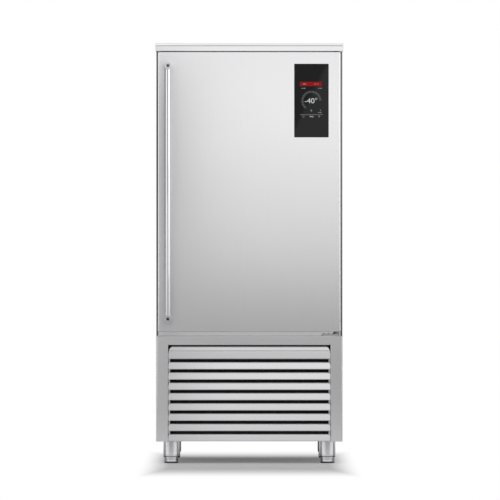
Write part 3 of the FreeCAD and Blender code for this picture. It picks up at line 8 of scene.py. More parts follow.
import bmesh
import bpy
import numpy as np
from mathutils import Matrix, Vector


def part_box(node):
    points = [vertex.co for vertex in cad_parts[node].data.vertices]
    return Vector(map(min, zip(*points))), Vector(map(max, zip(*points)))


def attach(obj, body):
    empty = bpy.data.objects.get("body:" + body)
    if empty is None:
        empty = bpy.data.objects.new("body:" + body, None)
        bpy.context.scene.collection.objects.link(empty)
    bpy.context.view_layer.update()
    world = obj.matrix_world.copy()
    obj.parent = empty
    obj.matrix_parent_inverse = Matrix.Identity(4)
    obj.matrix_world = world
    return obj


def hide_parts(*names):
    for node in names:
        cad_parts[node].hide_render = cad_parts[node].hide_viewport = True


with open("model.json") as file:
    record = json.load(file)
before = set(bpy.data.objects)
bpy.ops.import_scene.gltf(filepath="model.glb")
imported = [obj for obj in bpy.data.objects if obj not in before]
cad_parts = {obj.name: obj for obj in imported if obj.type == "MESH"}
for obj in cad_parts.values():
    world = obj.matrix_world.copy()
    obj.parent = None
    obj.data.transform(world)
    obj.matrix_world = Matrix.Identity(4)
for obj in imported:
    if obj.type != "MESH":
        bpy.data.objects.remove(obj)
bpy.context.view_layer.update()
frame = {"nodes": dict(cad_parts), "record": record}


# ------------------------------------------------------------------ camera
# A long lens looks straight at the door from the front, at about the height of its middle.
# The cabinet has no free cord, so nothing else has to be settled before its pieces.

photo_pixels = 500
pixel = 0.0043163
camera_distance = 24
camera_side = 0.0028
camera_height = 0.922
door_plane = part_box("door_skin")[0].y

lens = bpy.data.cameras.new("camera")
lens.sensor_width = 36
lens.lens = lens.sensor_width * camera_distance / (photo_pixels * pixel)
lens.clip_end = 100
camera = bpy.data.objects.new("camera", lens)
camera.location = (camera_side, door_plane - camera_distance, camera_height)
camera.rotation_euler = (math.pi / 2, 0, 0)
bpy.context.scene.collection.objects.link(camera)
bpy.context.scene.camera = camera
bpy.context.scene.view_settings.view_transform = "Standard"


# ------------------------------------------------------------------ stage
# A seamless white floor and backdrop, with a grey room in front that the steel mirrors. Soft
# cards in front, dim at the door's foot and bright above its handle, give the door its slope
# from dark to light.

class Value:
    """A shader socket that arithmetic signs build Math nodes on, from either side."""

    def __init__(self, tree, socket):
        self.tree = tree
        self.socket = socket

    def sign(self, operation, first, second):
        """Join two values or numbers by a Math node."""
        return self.tree.node("ShaderNodeMath", {"operation": operation}, {0: first, 1: second})

    def __add__(self, other):
        return self.sign("ADD", self, other)

    def __sub__(self, other):
        return self.sign("SUBTRACT", self, other)

    def __rsub__(self, other):
        return self.sign("SUBTRACT", other, self)

    def __mul__(self, other):
        return self.sign("MULTIPLY", self, other)

    def __or__(self, other):
        return self.sign("MAXIMUM", self, other)

    def __abs__(self):
        return self.sign("ABSOLUTE", self, 0)

    __radd__ = __add__
    __rmul__ = __mul__


class Tree:
    """A node tree, with one method that adds any node."""

    def __init__(self, tree):
        self.tree = tree

    def node(self, kind, settings=None, sockets=None, output=0):
        """Add a node of this type, set it up, fill its sockets and return one of its outputs."""
        node = self.tree.nodes.new(kind)
        for name, value in (settings or {}).items():
            setattr(node, name, value)
        for name, value in (sockets or {}).items():
            self.join(value, node.inputs[name])
        return Value(self, node.outputs[output])

    def join(self, value, socket):
        """Link a value to a socket, or set a plain number or colour on it."""
        if isinstance(value, Value):
            self.tree.links.new(value.socket, socket)
        else:
            socket.default_value = value

    def slope(self, value, low, high):
        """0 below one value and 1 above another, with a smooth rise between them."""
        return self.node("ShaderNodeMapRange", {"interpolation_type": "SMOOTHSTEP"},
                         {"Value": value, "From Min": low, "From Max": high})

    def blend(self, mask, first, second):
        """Colour that goes from the first to the second as the mask goes from 0 to 1."""
        return self.node("ShaderNodeMix", {"data_type": "RGBA"}, {0: mask, 6: first, 7: second},
                         output=2)

    def ray(self, kind):
        """Light Path's answer on the kind of ray that asks."""
        return self.node("ShaderNodeLightPath", output=kind)

    def part(self, coordinate, axis):
        """One part, along X, Y or Z, of a texture coordinate."""
        place = self.node("ShaderNodeTexCoord", output=coordinate)
        return self.node("ShaderNodeSeparateXYZ", {}, {0: place}, output=axis)


class Finish(Tree):
    """A material with one Principled shader; what is uniform is set on its own sockets."""

    def __init__(self, name, colour, metallic, roughness, **uniform):
        self.material = bpy.data.materials.new(name)
        self.material.use_nodes = True
        super().__init__(self.material.node_tree)
        self.shader = self.tree.nodes["Principled BSDF"]
        self.colour = (*colour, 1)
        self.feed("Base Color", self.colour)
        self.feed("Metallic", metallic)
        self.feed("Roughness", roughness)
        for socket, value in uniform.items():
            self.feed(socket.replace("_", " "), value)

    def feed(self, socket, value):
        """Drive or set one of the shader's sockets."""
        self.join(value, self.shader.inputs[socket])

    def noise(self, stretch, detail=2):
        """Noise of 0 to 1 over object coordinates, with so many grains a metre on each axis."""
        place = self.node("ShaderNodeTexCoord", output="Object")
        scaled = self.node("ShaderNodeMapping", {}, {"Vector": place, "Scale": stretch})
        return self.node("ShaderNodeTexNoise", {}, {"Vector": scaled, "Scale": 1, "Detail": detail})

    def tint(self, mask, dark, light):
        """Base colour that runs between two shares of the finish's own colour."""
        low = (*(channel * dark for channel in self.colour[:3]), 1)
        high = (*(min(channel * light, 1) for channel in self.colour[:3]), 1)
        self.feed("Base Color", self.blend(mask, low, high))

    def bump(self, height, depth):
        """Raise the surface by a height of 0 to 1 times a depth in metres."""
        self.feed("Normal", self.node("ShaderNodeBump", {}, {"Height": height, "Distance": depth}))


def grey(level):
    """An even grey of this strength."""
    return (level, level, level * 1.01, 1)


# The room's parts are told apart by the direction from the object: a backdrop behind it, dusk
# beside it, grey in front, and two bright upright strips at the sides of the grey.
white = grey(1)
room_grey, dusk, strip_light = grey(0.495), grey(0.17), grey(1.6)
room = bpy.data.worlds.new("studio")
room.use_nodes = True
bpy.context.scene.world = room
studio = Tree(room.node_tree)
sideways, forward, upward = (studio.part("Generated", axis) for axis in "XYZ")
backdrop = studio.slope(forward, 0.62, 0.95)
beside = studio.slope(forward, -0.24, -0.02)
level = 1 - studio.slope(abs(upward), 0.1, 0.22)
strips = studio.slope(abs(sideways), 0.50, 0.60) * (1 - beside) * level
lit = studio.blend(beside, room_grey, dusk)
lit = studio.blend(strips, lit, strip_light)
lit = studio.blend(backdrop, lit, white)
looked_at = studio.ray("Is Camera Ray") | studio.ray("Is Transmission Ray")
studio.join(studio.blend(looked_at, lit, white), room.node_tree.nodes["Background"].inputs["Color"])

# The floor shows white to the camera but for the shadow round the feet, and its outer parts
# shine white in mirrors, so that the steel sees no edge of a shadow.
floor_reach = 40
floor_mesh = bpy.data.meshes.new("floor")
floor_mesh.from_pydata([(x * floor_reach, y * floor_reach, 0)
                        for x, y in ((-1, -1), (1, -1), (1, 1), (-1, 1))], [], [(0, 1, 2, 3)])
floor = bpy.data.objects.new("floor", floor_mesh)
bpy.context.scene.collection.objects.link(floor)
paving = Finish("floor_white", (0.86, 0.86, 0.86), 0, 0.9, Specular_IOR_Level=0.0)
aside = abs(paving.part("Object", "X"))
behind = paving.part("Object", "Y")
door_y, floor_share = 0.35, 0.11
shadow_free = paving.slope(aside, 0.31, 0.47) | paving.slope(abs(behind + door_y), 0.35, 1.55)
seen = (shadow_free | floor_share) * paving.ray("Is Camera Ray")
ahead = -1 * behind
near_floor = paving.slope(ahead, 0.34, 0.46) * (1 - paving.slope(ahead, 1.0, 1.6))
mirrored = paving.ray("Is Glossy Ray") | paving.ray("Is Transmission Ray")
reflected = (near_floor | paving.slope(behind, 0.5, 1.2)) * mirrored
glow = paving.node("ShaderNodeEmission", {}, {"Color": white, "Strength": 1})
clear = paving.node("ShaderNodeMixShader", {},
                    {0: seen | reflected, 1: Value(paving, paving.shader.outputs[0]), 2: glow})
paving.join(clear, paving.tree.nodes["Material Output"].inputs["Surface"])
floor.data.materials.append(paving.material)


def soft_box(name, place, aim, width, height, brightness):
    """A rectangular lamp at a place that faces a point, as bright as a card of this strength.

    A flat lamp's watts are its brightness times pi times its area."""
    lamp = bpy.data.lights.new(name, "AREA")
    lamp.shape = "RECTANGLE"
    lamp.size, lamp.size_y = width, height
    lamp.energy = brightness * math.pi * width * height
    holder = bpy.data.objects.new(name, lamp)
    holder.location = place
    holder.rotation_euler = (Vector(aim) - Vector(place)).to_track_quat("-Z", "Y").to_euler()
    holder.visible_camera = False
    bpy.context.scene.collection.objects.link(holder)


# The bands of one broad card, which ends above the handle, then two lesser cards left of it.
card_y = -1.3
card_left, card_right = -0.33, 1.30
for left, right, low, high, brightness in (
        (card_left, card_right, 1.82, 2.60, 0.72), (card_left, card_right, 1.30, 1.82, 0.87),
        (card_left, card_right, 1.02, 1.30, 0.65), (card_left, card_right, 0.80, 1.02, 0.56),
        (card_left, card_right, 0.62, 0.80, 0.22), (card_left, card_right, 0.48, 0.62, 0.06),
        (-card_right, card_left, 1.80, 2.60, 1.05), (-card_right, -0.42, 0.25, 1.15, 0.27)):
    centre_x, centre_z = (left + right) / 2, (low + high) / 2
    soft_box("front_card", (centre_x, card_y, centre_z), (centre_x, 0, centre_z),
             right - left, high - low, brightness)


# ------------------------------------------------------------------ sheet-steel cabinet
# Brushed 1 mm stainless sheet, folded and riveted. The sides, back and roof are plain panels
# with an upright grain; the folded rim, the lid and the surround have theirs along the fold.

def brushed(name, colour, roughness, grain, rubbed=0):
    """Satin steel. Scratches are noise stretched along the grain's axis; they change the
    colour by a few hundredths, the roughness by a tenth and the height by micrometres. Where
    the largest part of the object's own normal is under 1, on a fold, the press brake has
    rubbed the grain smoother."""
    across, along = 700, 5
    finish = Finish(name, colour, 1, roughness)
    scratches = finish.noise([along if axis == grain else across for axis in "XYZ"], 3)
    clouds = finish.noise([2.5] * 3)
    finish.tint(scratches, 0.96, 1.04)
    parts = [abs(finish.part("Normal", axis)) for axis in "XYZ"]
    fold = 1 - finish.slope(parts[0] | parts[1] | parts[2], 0.94, 0.998)
    finish.feed("Roughness", scratches * 0.10 + clouds * 0.06 + (roughness - 0.08) - fold * rubbed)
    finish.bump(scratches, 5e-6)
    return finish


steel_grey = (0.69, 0.69, 0.695)
upright_steel = brushed("upright_brushed_steel", steel_grey, 0.36, "Z")
level_steel = brushed("level_brushed_steel", steel_grey, 0.32, "X")


def clothe(finish, *names):
    """Give nodes of the frame their finish."""
    for name in names:
        slots = frame["nodes"][name].data.materials
        slots.clear()
        slots.append(finish.material)


def knit(mesh, reach, angle=30, outwards=False):
    """Merge the points of a mesh that lie within reach, turn its faces outwards where asked, and
    shade it smoothly but for creases where two faces turn by more than an angle."""
    work = bmesh.new()
    work.from_mesh(mesh)
    bmesh.ops.remove_doubles(work, verts=work.verts, dist=reach)
    if outwards:
        bmesh.ops.dissolve_degenerate(work, edges=work.edges, dist=1e-6)
        bmesh.ops.recalc_face_normals(work, faces=work.faces)
    work.to_mesh(mesh)
    work.free()
    mesh.polygons.foreach_set("use_smooth", [True] * len(mesh.polygons))
    mesh.set_sharp_from_angle(angle=math.radians(angle))


dressed = set()


def settle(name, mesh, carrier, finish):
    """Make an object of a finished mesh and ride it on the body that carries a node. The first
    piece on a node stands for the node itself, and later ones are added to it."""
    piece = bpy.data.objects.new(name, mesh)
    bpy.context.scene.collection.objects.link(piece)
    mesh.materials.clear()
    mesh.materials.append(finish.material)
    piece.modifiers.new("flat_faces_stay_flat", "WEIGHTED_NORMAL").keep_sharp = True
    bodies = frame["record"]["behaviour"]["bodies"]
    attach(piece, [body for body, members in bodies.items() if carrier in members][0])
    if carrier not in dressed:
        dressed.add(carrier)
        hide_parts(carrier)


def merged(name, node, finish):
    """A part of the frame with its triangles joined, so that its folds shade as curves."""
    mesh = frame["nodes"][node].data.copy()
    knit(mesh, 1e-6)
    settle(name, mesh, node, finish)


clothe(upright_steel, "side_panel_left", "side_panel_right", "back_panel", "roof_panel")
for name, node in (("rim_band", "top_fascia"), ("rim_lid", "top_lid"),
                   ("vented_back", "rear_vent")):
    merged(name, node, level_steel)


# ------------------------------------------------------------------ door
# One deep-drawn pan of brushed sheet with rounded front edges, foamed to its inner panel.
# Its grain runs upright, and the window for the display is cut through it.

def lattice(points, close_rows=False, close_columns=False):
    """Quads between neighbours on a grid of points; a closed way joins its end to its start."""
    rows, columns = points.shape[:2]
    index = np.arange(rows * columns).reshape(rows, columns)
    if close_rows:
        index = np.vstack([index, index[:1]])
    if close_columns:
        index = np.hstack([index, index[:, :1]])
    quads = np.stack([index[:-1, :-1], index[1:, :-1], index[1:, 1:], index[:-1, 1:]], axis=-1)
    return points.reshape(-1, 3), quads.reshape(-1, 4).tolist()


def capped(rings):
    """Surface over a stack of rings of points, closed by a flat face at both ends."""
    points, faces = lattice(rings, close_columns=True)
    count = rings.shape[1]
    return points, faces + [list(range(count)), list(range(len(points) - count, len(points)))]


def build(name, surfaces, carrier, finish, angle=30):
    """Join surfaces into one mesh, merge their shared points, turn all faces outwards and
    settle the piece."""
    starts = np.cumsum([0] + [len(points) for points, faces in surfaces]).tolist()
    points = np.vstack([points for points, faces in surfaces])
    faces = [[start + corner for corner in face]
             for start, (_, members) in zip(starts, surfaces) for face in members]
    mesh = bpy.data.meshes.new(name)
    mesh.from_pydata(points.tolist(), [], faces)
    knit(mesh, 2e-6, angle, outwards=True)
    settle(name, mesh, carrier, finish)


def rounded_ring(centre, half, radius, steps=6):
    """Outline of a rectangle whose corners are quarter circles, as one ring of points."""
    turn = np.radians(np.linspace(0, 90, steps))[None, :] + np.radians([0, 90, 180, 270])[:, None]
    sides = np.array([(1, 1), (-1, 1), (-1, -1), (1, -1)])[:, None, :]
    corner = np.array(centre) + sides * (np.array(half) - radius)
    return (corner + radius * np.stack([np.cos(turn), np.sin(turn)], -1)).reshape(-1, 2)


def pan(low, high, window_low, window_high, window_corner, edge, corner, sheet, steps=7):
    """Pan of even sheet, open at the back, with a window. Its rings are a rounded outline drawn
    in by edge (1 - sin a), a fifth of it above and below, and set back by edge (1 - cos a); the
    inner skin has the same rings a sheet's thickness further in."""
    centre, half = np.array(((low + high) / 2).xz), np.array(((high - low) / 2).xz)
    hole = rounded_ring(((window_low + window_high) / 2).xz, ((window_high - window_low) / 2).xz,
                        window_corner)
    turn = np.radians(np.linspace(0, 90, steps))
    slim = np.array([1, 0.2])
    rings = []
    for skin in (0, sheet):
        bend = edge - skin
        inset = np.append(skin + bend * (1 - np.sin(turn)), skin)
        set_back = np.append(low.y + skin + bend * (1 - np.cos(turn)), high.y)
        outline = [(rounded_ring(centre, half - part * slim, max(corner - part, 0.0005)), back)
                   for part, back in zip(inset, set_back)]
        outline = [(hole, low.y + skin)] + outline
        rings += outline if skin == 0 else outline[::-1]
    points = np.stack([np.stack([ring[:, 0], np.full(len(ring), back), ring[:, 1]], -1)
                       for ring, back in rings])
    return lattice(points, close_rows=True, close_columns=True)


door_steel = brushed("door_brushed_steel", steel_grey, 0.37, "Z", 0.26)
skin_low, skin_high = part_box("door_skin")
glass_low, glass_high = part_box("display_glass")
reveal = Vector((0.0004, 0, 0.0004))
glass_corner, door_edge, door_corner, door_sheet = 0.002, 0.0065, 0.007, 0.001
door_pan = pan(skin_low, skin_high, glass_low - reveal, glass_high + reveal, glass_corner,
               door_edge, door_corner, door_sheet)
build("door_pan", [door_pan], "door_skin", door_steel, 40)
merged("door_inside", "door_liner", level_steel)


def grained(name, colour, roughness, grains, dark, light, depth=0, metallic=0, detail=2):
    """A finish of one noise with so many grains a metre: its colour runs between two shares of
    its own with the noise, and its height rises with the noise times a depth."""
    finish = Finish(name, colour, metallic, roughness)
    grain = finish.noise([grains] * 3, detail)
    finish.tint(grain, dark, light)
    if depth:
        finish.bump(grain, depth)
    return finish


foam = grained("poured_foam", (0.78, 0.70, 0.48), 0.9, 900, 0.8, 1.1, 0.0004, detail=3)
clothe(foam, "door_foam", "insulation")


# ------------------------------------------------------------------ handle
# A polished round tube, coped onto two turned posts. A hexagon-socket screw sunk in the front
# of each post bolts it through the door's skin.

AXES = {"X": (1, 2, 0), "Y": (2, 0, 1), "Z": (0, 1, 2)}


def turned(profile, centre, axis, steps=64, shape=lambda turn: 1):
    """Surface of a profile turned about an axis: at height h and radius r, the point is the
    centre plus h along the axis and r times the circle's cosine and sine across it. A shape
    scales the radius by the turn, which makes a hexagon of a circle."""
    radius, height = np.array(profile, float).T[:, :, None]
    turn = np.linspace(0, 2 * math.pi, steps, endpoint=False)[None, :]
    first, second, along = AXES[axis]
    points = np.zeros((len(profile), steps, 3))
    points[..., first] = centre[first] + radius * np.cos(turn) * shape(turn)
    points[..., second] = centre[second] + radius * np.sin(turn) * shape(turn)
    points[..., along] = centre[along] + height
    return lattice(points, close_columns=True)


def eased(profile, radius, steps=5):
    """A profile with its inner corners rounded: each corner gives way to points on a parabola
    that leaves one side and joins the other at the radius, or at 45 hundredths of a side."""
    corners = np.array(profile, float)
    before, corner, after = corners[:-2], corners[1:-1], corners[2:]
    reach = [np.linalg.norm(side - corner, axis=1, keepdims=True) for side in (before, after)]
    share = [np.minimum(radius, 0.45 * length) / np.maximum(length, 1e-9) for length in reach]
    first, last = corner + (before - corner) * share[0], corner + (after - corner) * share[1]
    part = np.linspace(0, 1, steps)[None, :, None]
    curve = (first[:, None] * (1 - part) ** 2 + 2 * corner[:, None] * part * (1 - part)
             + last[:, None] * part ** 2)
    return np.vstack([corners[:1], curve.reshape(-1, corners.shape[1]), corners[-1:]])


def polished(name, colour, roughness):
    """Bright-turned steel: fine rings of noise change the roughness by a few hundredths."""
    finish = Finish(name, colour, 1, roughness)
    rings = finish.noise([900, 900, 60])
    finish.tint(rings, 0.97, 1.03)
    finish.feed("Roughness", rings * 0.06 + (roughness - 0.03))
    return finish


bright_steel = polished("polished_steel", (0.60, 0.60, 0.61), 0.13)
bar_low, bar_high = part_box("handle_bar")
post_low, post_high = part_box("handle_posts")
bar_radius = (bar_high.x - bar_low.x) / 2
bar_x, bar_y = ((bar_low + bar_high) / 2).xy
post_radius = (post_high.x - post_low.x) / 2
post_heights = (post_low.z + post_radius, post_high.z - post_radius)


def coped_tube(low, high, radius, post, steps=48):
    """Upright tube between two level posts: at each turn t it ends just inside them, at a
    height of the root of post^2 - (radius cos t)^2 from each post's axis."""
    turn = np.linspace(0, 2 * math.pi, steps, endpoint=False)
    sunk = 0.0005
    meet = np.sqrt(post ** 2 - (radius * np.cos(turn)) ** 2) - sunk
    share = np.linspace(0, 1, 40)[:, None]
    height = (low + meet) * (1 - share) + (high - meet) * share
    points = np.stack([bar_x + radius * np.cos(turn) + 0 * height,
                       bar_y + radius * np.sin(turn) + 0 * height, height], axis=-1)
    return lattice(points, close_columns=True)


bar = coped_tube(*post_heights, bar_radius, post_radius)
build("handle_tube", [bar], "handle_bar", bright_steel)

socket_radius, socket_depth = 0.0075, 0.010
post_length = post_high.y - post_low.y
post_profile = eased([(0, socket_depth), (socket_radius, socket_depth), (socket_radius, 0),
                      (post_radius, 0), (post_radius, post_length), (0, post_length)], 0.0012)
satin_steel = polished("satin_turned_steel", (0.62, 0.62, 0.63), 0.26)
posts = [turned(post_profile, (bar_x, post_low.y, height), "Y") for height in post_heights]
build("turned_posts", posts, "handle_posts", satin_steel)


def six_sided(turn):
    """Share of a circle's radius that a hexagon reaches at a turn."""
    return math.cos(math.pi / 6) / np.cos(np.mod(turn, math.pi / 3) - math.pi / 6)


dark_screw = grained("oiled_screw", (0.045, 0.045, 0.05), 0.38, 400, 0.7, 1.3, metallic=1)
key, rim, head = 0.0062, 0.0066, 0.0072
head_sunk, key_floor = 0.0030, 0.0092
head_edge = eased([(head, socket_depth), (head, head_sunk + 0.0006), (0.0070, head_sunk),
                   (rim, head_sunk)], 0.0004)
heads, wells = [], []
for height in post_heights:
    centre = (bar_x, post_low.y, height)
    heads.append(turned(head_edge, centre, "Y", 48))
    face = np.stack([turned([(rim, head_sunk)], centre, "Y", 48)[0],
                     turned([(key, head_sunk)], centre, "Y", 48, six_sided)[0]])
    heads.append(lattice(face, close_columns=True))
    well = [(key, head_sunk), (key, key_floor), (0, key_floor + 0.0004)]
    wells.append(turned(well, centre, "Y", 48, six_sided))
build("screw_heads", heads, "handle_screws", satin_steel)
build("hexagon_sockets", wells, "handle_screws", dark_screw)


# ------------------------------------------------------------------ display
# A slab of dark glass with rounded corners, flush in the door. Lit marks show through it: a red
# band, a dial of ticks round a temperature, a thin bar and a few small plain signs.

def tablet(low, high, axis, radius, edge):
    """Rounded block: rings of a rounded outline stacked along an axis, drawn in at both ends
    by a quarter circle of the edge's radius, with a flat face on each end."""
    first, second, along = AXES[axis]
    low, high = np.array(low, float), np.array(high, float)
    centre, half = (high + low)[[first, second]] / 2, (high - low)[[first, second]] / 2
    turn = np.radians(np.linspace(0, 90, 5))
    inset, rise = edge * (1 - np.sin(turn)), edge * (1 - np.cos(turn))
    rings = np.stack([rounded_ring(centre, half - part, max(radius - part, 1e-5))
                      for part in np.append(inset, inset[::-1])])
    points = np.zeros(rings.shape[:2] + (3,))
    points[..., [first, second]] = rings
    points[..., along] = np.append(low[along] + rise, high[along] - rise[::-1])[:, None]
    return capped(points)


black_glass = Finish("black_glass", (0.007, 0.007, 0.007), 0, 0.10, Specular_IOR_Level=0.12)
smears = black_glass.noise([14, 14, 9], 4)
black_glass.feed("Roughness", smears * 0.08 + 0.08)
# The glass is painted a shade lighter below and right of a diagonal: a painted reflection, not a
# film in the glass.
slant = 0.90 * black_glass.part("Object", "X") - 0.44 * black_glass.part("Object", "Z")
painted_reflection_band = black_glass.slope(slant, -0.470, -0.445)
black_glass.feed("Base Color", black_glass.blend(painted_reflection_band, grey(0.0035), grey(0.016)))
glass = tablet(glass_low, glass_high, "Y", glass_corner, 0.0005)
build("glass_panel", [glass], "display_glass", black_glass)

mark_rear, mark_front = glass_low.y + 0.0001, glass_low.y - 0.00005


def at_pixel(across, down):
    """X and Z of a pixel of the photo's 500 pixel square, on the door's plane."""
    return (camera_side + (across - photo_pixels / 2) * pixel,
            camera_height - (down - photo_pixels / 2) * pixel)


def boxed(points):
    """Closed boxes from rows of eight corners: one face's four in turn, then the far face's."""
    sides = np.array([(0, 1, 2, 3), (7, 6, 5, 4), (0, 4, 5, 1), (1, 5, 6, 2), (2, 6, 7, 3),
                      (3, 7, 4, 0)])
    faces = np.arange(len(points))[:, None, None] * 8 + sides
    return points.reshape(-1, 3), faces.reshape(-1, 4).tolist()


def plates(corners):
    """Thin closed plates on the glass over quadrilaterals of X and Z."""
    points = np.zeros((len(corners), 2, 4, 3))
    points[..., [0, 2]] = corners[:, None]
    points[:, 0, :, 1] = mark_front
    points[:, 1, :, 1] = mark_rear
    return boxed(points)


def cards(boxes):
    """Thin upright cards on the glass, each given by its left, upper, right and lower pixel."""
    left, top, right, low = np.array(boxes, float).T
    x0, z1 = at_pixel(left, top)
    x1, z0 = at_pixel(right, low)
    return plates(np.stack([np.stack([x0, x1, x1, x0], -1), np.stack([z0, z0, z1, z1], -1)], -1))


def lit_mark(name, colour, strength):
    """A lit part of the display: a plain colour that glows through the glass."""
    finish = Finish(name, tuple(channel * 0.15 for channel in colour), 0, 0.35,
                    Specular_IOR_Level=0.1, Emission_Strength=strength)
    grain = finish.noise([2500] * 3, 1)
    low = (*(channel * 0.92 for channel in colour), 1)
    finish.feed("Emission Color", finish.blend(grain, low, (*colour, 1)))
    return finish


red_light = lit_mark("red_light", (0.26, 0.002, 0.004), 0.9)
white_light = lit_mark("white_light", (0.70, 0.72, 0.74), 0.9)
sign_light = lit_mark("sign_light", (0.24, 0.25, 0.26), 0.9)
grey_light = lit_mark("grey_light", (0.13, 0.135, 0.14), 0.9)

build("red_band", [cards([(299.8, 81.9, 321.6, 86.0)])], "display_glass", red_light)

dial_x, dial_z = at_pixel(311.4, 100.8)
dial_outer, dial_inner = 0.0436, 0.0341
tick_count = 26
tick_start, tick_stop = 228, 5
tick_angle = np.radians(np.linspace(tick_start, tick_stop, tick_count))[:, None]
tick_half = np.radians((tick_start - tick_stop) / tick_count * 0.22)
tick_turn = tick_angle + tick_half * np.array([-1, 1, 1, -1])
tick_reach = np.array([dial_inner, dial_inner, dial_outer, dial_outer])
ticks = np.stack([dial_x + tick_reach * np.cos(tick_turn),
                  dial_z + tick_reach * np.sin(tick_turn)], -1)
build("dial_ticks", [plates(ticks)], "display_glass", grey_light)

sign_rows = {(87.9, 88.7): ((301.6, 302.7), (303.4, 305.4), (318.2, 319.4), (320.2, 321.8)),
             (109.5, 111.6): ((311.0, 311.6),), (110.3, 110.8): ((310.3, 312.3),),
             (109.8, 110.8): ((320.2, 320.9),), (112.1, 112.9): ((318.2, 319.4), (319.9, 321.4)),
             (115.7, 116.2): ((318.4, 319.9),), (116.6, 117.1): ((318.4, 319.9),),
             (83.5, 84.6): ((303.0, 306.0), (314.5, 315.6), (317.0, 318.4))}
small_signs = [(left, top, right, low) for (top, low), row in sign_rows.items()
               for left, right in row]
build("small_signs", [cards(small_signs)], "display_glass", sign_light)
build("thin_bar", [cards([(300.2, 114.3, 322.8, 115.0)])], "display_glass", grey_light)


def digits(name, text, pixel_box, finish):
    """Figures set in the plain built-in type, scaled to fill a box of pixels on the glass."""
    curve = bpy.data.curves.new(name, "FONT")
    curve.body = text
    curve.offset = -0.006
    holder = bpy.data.objects.new(name, curve)
    mesh = bpy.data.meshes.new_from_object(holder)
    bpy.data.objects.remove(holder)
    flat = np.empty(len(mesh.vertices) * 3)
    mesh.vertices.foreach_get("co", flat)
    flat = flat.reshape(-1, 3)
    low, size = flat.min(axis=0), np.ptp(flat, axis=0)
    x0, z1 = at_pixel(*pixel_box[:2])
    x1, z0 = at_pixel(*pixel_box[2:])
    share = (flat - low) / np.where(size > 0, size, 1)
    placed = np.stack([x0 + share[:, 0] * (x1 - x0), np.full(len(flat), mark_front),
                       z0 + share[:, 1] * (z1 - z0)], -1)
    mesh.vertices.foreach_set("co", placed.ravel())
    settle(name, mesh, "display_glass", finish)


digits("temperature", "-40°", (304.8, 98.0, 317.2, 103.2), white_light)
digits("minutes", "90", (309.8, 115.9, 313.2, 117.3), white_light)
ring_x, ring_z = at_pixel(303.3, 116.5)
sign_ring = turned([(0.0034, 0), (0.0044, 0), (0.0044, 0.00015), (0.0034, 0.00015), (0.0034, 0)],
                   (ring_x, mark_front, ring_z), "Y", 24)
build("ring_sign", [sign_ring], "display_glass", sign_light)
clothe(dark_screw, "display_housing")


# ------------------------------------------------------------------ hinges
# Each hinge is a thick plate with a turned pin and a collar that the door's nylon bush turns
# on. Hexagon screws hold the plates, the upper one hidden inside the rim.

plate_steel = brushed("hinge_plate_steel", (0.52, 0.52, 0.525), 0.38, "X")
for name, node in (("hinge_plate_low", "lower_hinge_plate"),
                   ("hinge_plate_high", "upper_hinge_plate")):
    merged(name, node, plate_steel)
merged("collared_pins", "hinge_pins", bright_steel)
clothe(satin_steel, "hinge_screws")
nylon = grained("white_nylon", (0.80, 0.80, 0.77), 0.45, 60, 0.95, 1.03, detail=3)
merged("nylon_bushes", "door_bushes", nylon)


# ------------------------------------------------------------------ surround
# The machine bay's front: two stiles and a rail of brushed sheet, folded round at the outer
# corners, welded at the joints and ground flush. Its rail runs back under the door as a ledge.

def bent_sheet(path, sheet, put):
    """Sheet of even thickness bent along a path of two coordinates: one skin is the path, the
    other is the path moved by the thickness along its normal. put(skin, end) gives the points
    of a skin at end -1 or 1."""
    length = np.concatenate([[0], np.cumsum(np.linalg.norm(np.diff(path, axis=0), axis=1))])
    even_length = np.linspace(0, length[-1], 90)
    outer = np.stack([np.interp(even_length, length, path[:, axis]) for axis in (0, 1)], -1)
    along = np.gradient(outer, axis=0)
    along /= np.linalg.norm(along, axis=1, keepdims=True)
    inner = outer + sheet * np.stack([along[:, 1], -along[:, 0]], -1)
    loop = np.vstack([outer, inner[::-1]])
    skins = lattice(np.stack([put(loop, -1), put(loop, 1)], axis=1), close_rows=True)
    ends = [lattice(np.stack([put(outer, end), put(inner, end)], axis=1)) for end in (-1, 1)]
    return [skins] + ends


def standing(ends):
    """Put for an upright fold: its path lies in X and Y, and its two ends at these heights."""
    return lambda skin, end: np.column_stack([skin, np.full(len(skin), ends[end])])


front_low, front_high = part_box("surround")
outer_fold, small_fold, return_depth, surround_sheet = 0.0080, 0.0025, 0.030, 0.001
opening_half, rail_low = 0.3507, 0.5119
surround_steel = brushed("surround_brushed_steel", (0.72, 0.72, 0.725), 0.38, "X", 0.26)
rail_lap, rail_proud = 0.0035, 0.00005
stile_ends = {-1: front_low.z, 1: front_high.z - surround_sheet}
surround = []
for side in (-1, 1):
    section = eased([(side * front_high.x, front_high.y), (side * front_high.x, front_low.y),
                     (side * opening_half, front_low.y),
                     (side * opening_half, front_low.y + return_depth)],
                    np.array([[outer_fold], [small_fold]]), 9)
    surround += bent_sheet(section, side * surround_sheet, standing(stile_ends))


def rail_point(skin, end):
    """The rail's face laps the stiles' inner folds. Its ledge, the part within a sheet of the
    top, follows their outer folds: at depth d its half width grows by the root of
    fold^2 - (fold - d)^2."""
    depth, height = skin.T
    inside = np.clip(outer_fold - (depth - front_low.y), 0, outer_fold)
    ledge = front_high.x - outer_fold + np.sqrt(outer_fold ** 2 - inside ** 2)
    on_face = depth < front_low.y + 1.5 * surround_sheet
    on_top = height > front_high.z - 1.2 * surround_sheet
    half = np.where(on_top, ledge, opening_half + rail_lap * on_face)
    return np.stack([end * half, depth - rail_proud, height], -1)


rail = eased([(front_high.y, front_high.z), (front_low.y, front_high.z), (front_low.y, rail_low),
              (front_low.y + return_depth, rail_low)], small_fold, 7)
surround += bent_sheet(rail, -surround_sheet, rail_point)
build("bay_surround", surround, "surround", surround_steel)


# ------------------------------------------------------------------ grille
# Nine slats folded from thin brushed sheet, each with a hem at its foot and a top rolled back,
# trimmed at its corners and spot-welded to two cheeks that tilt on pins. The top slat is taller
# and has a groove pressed along it.

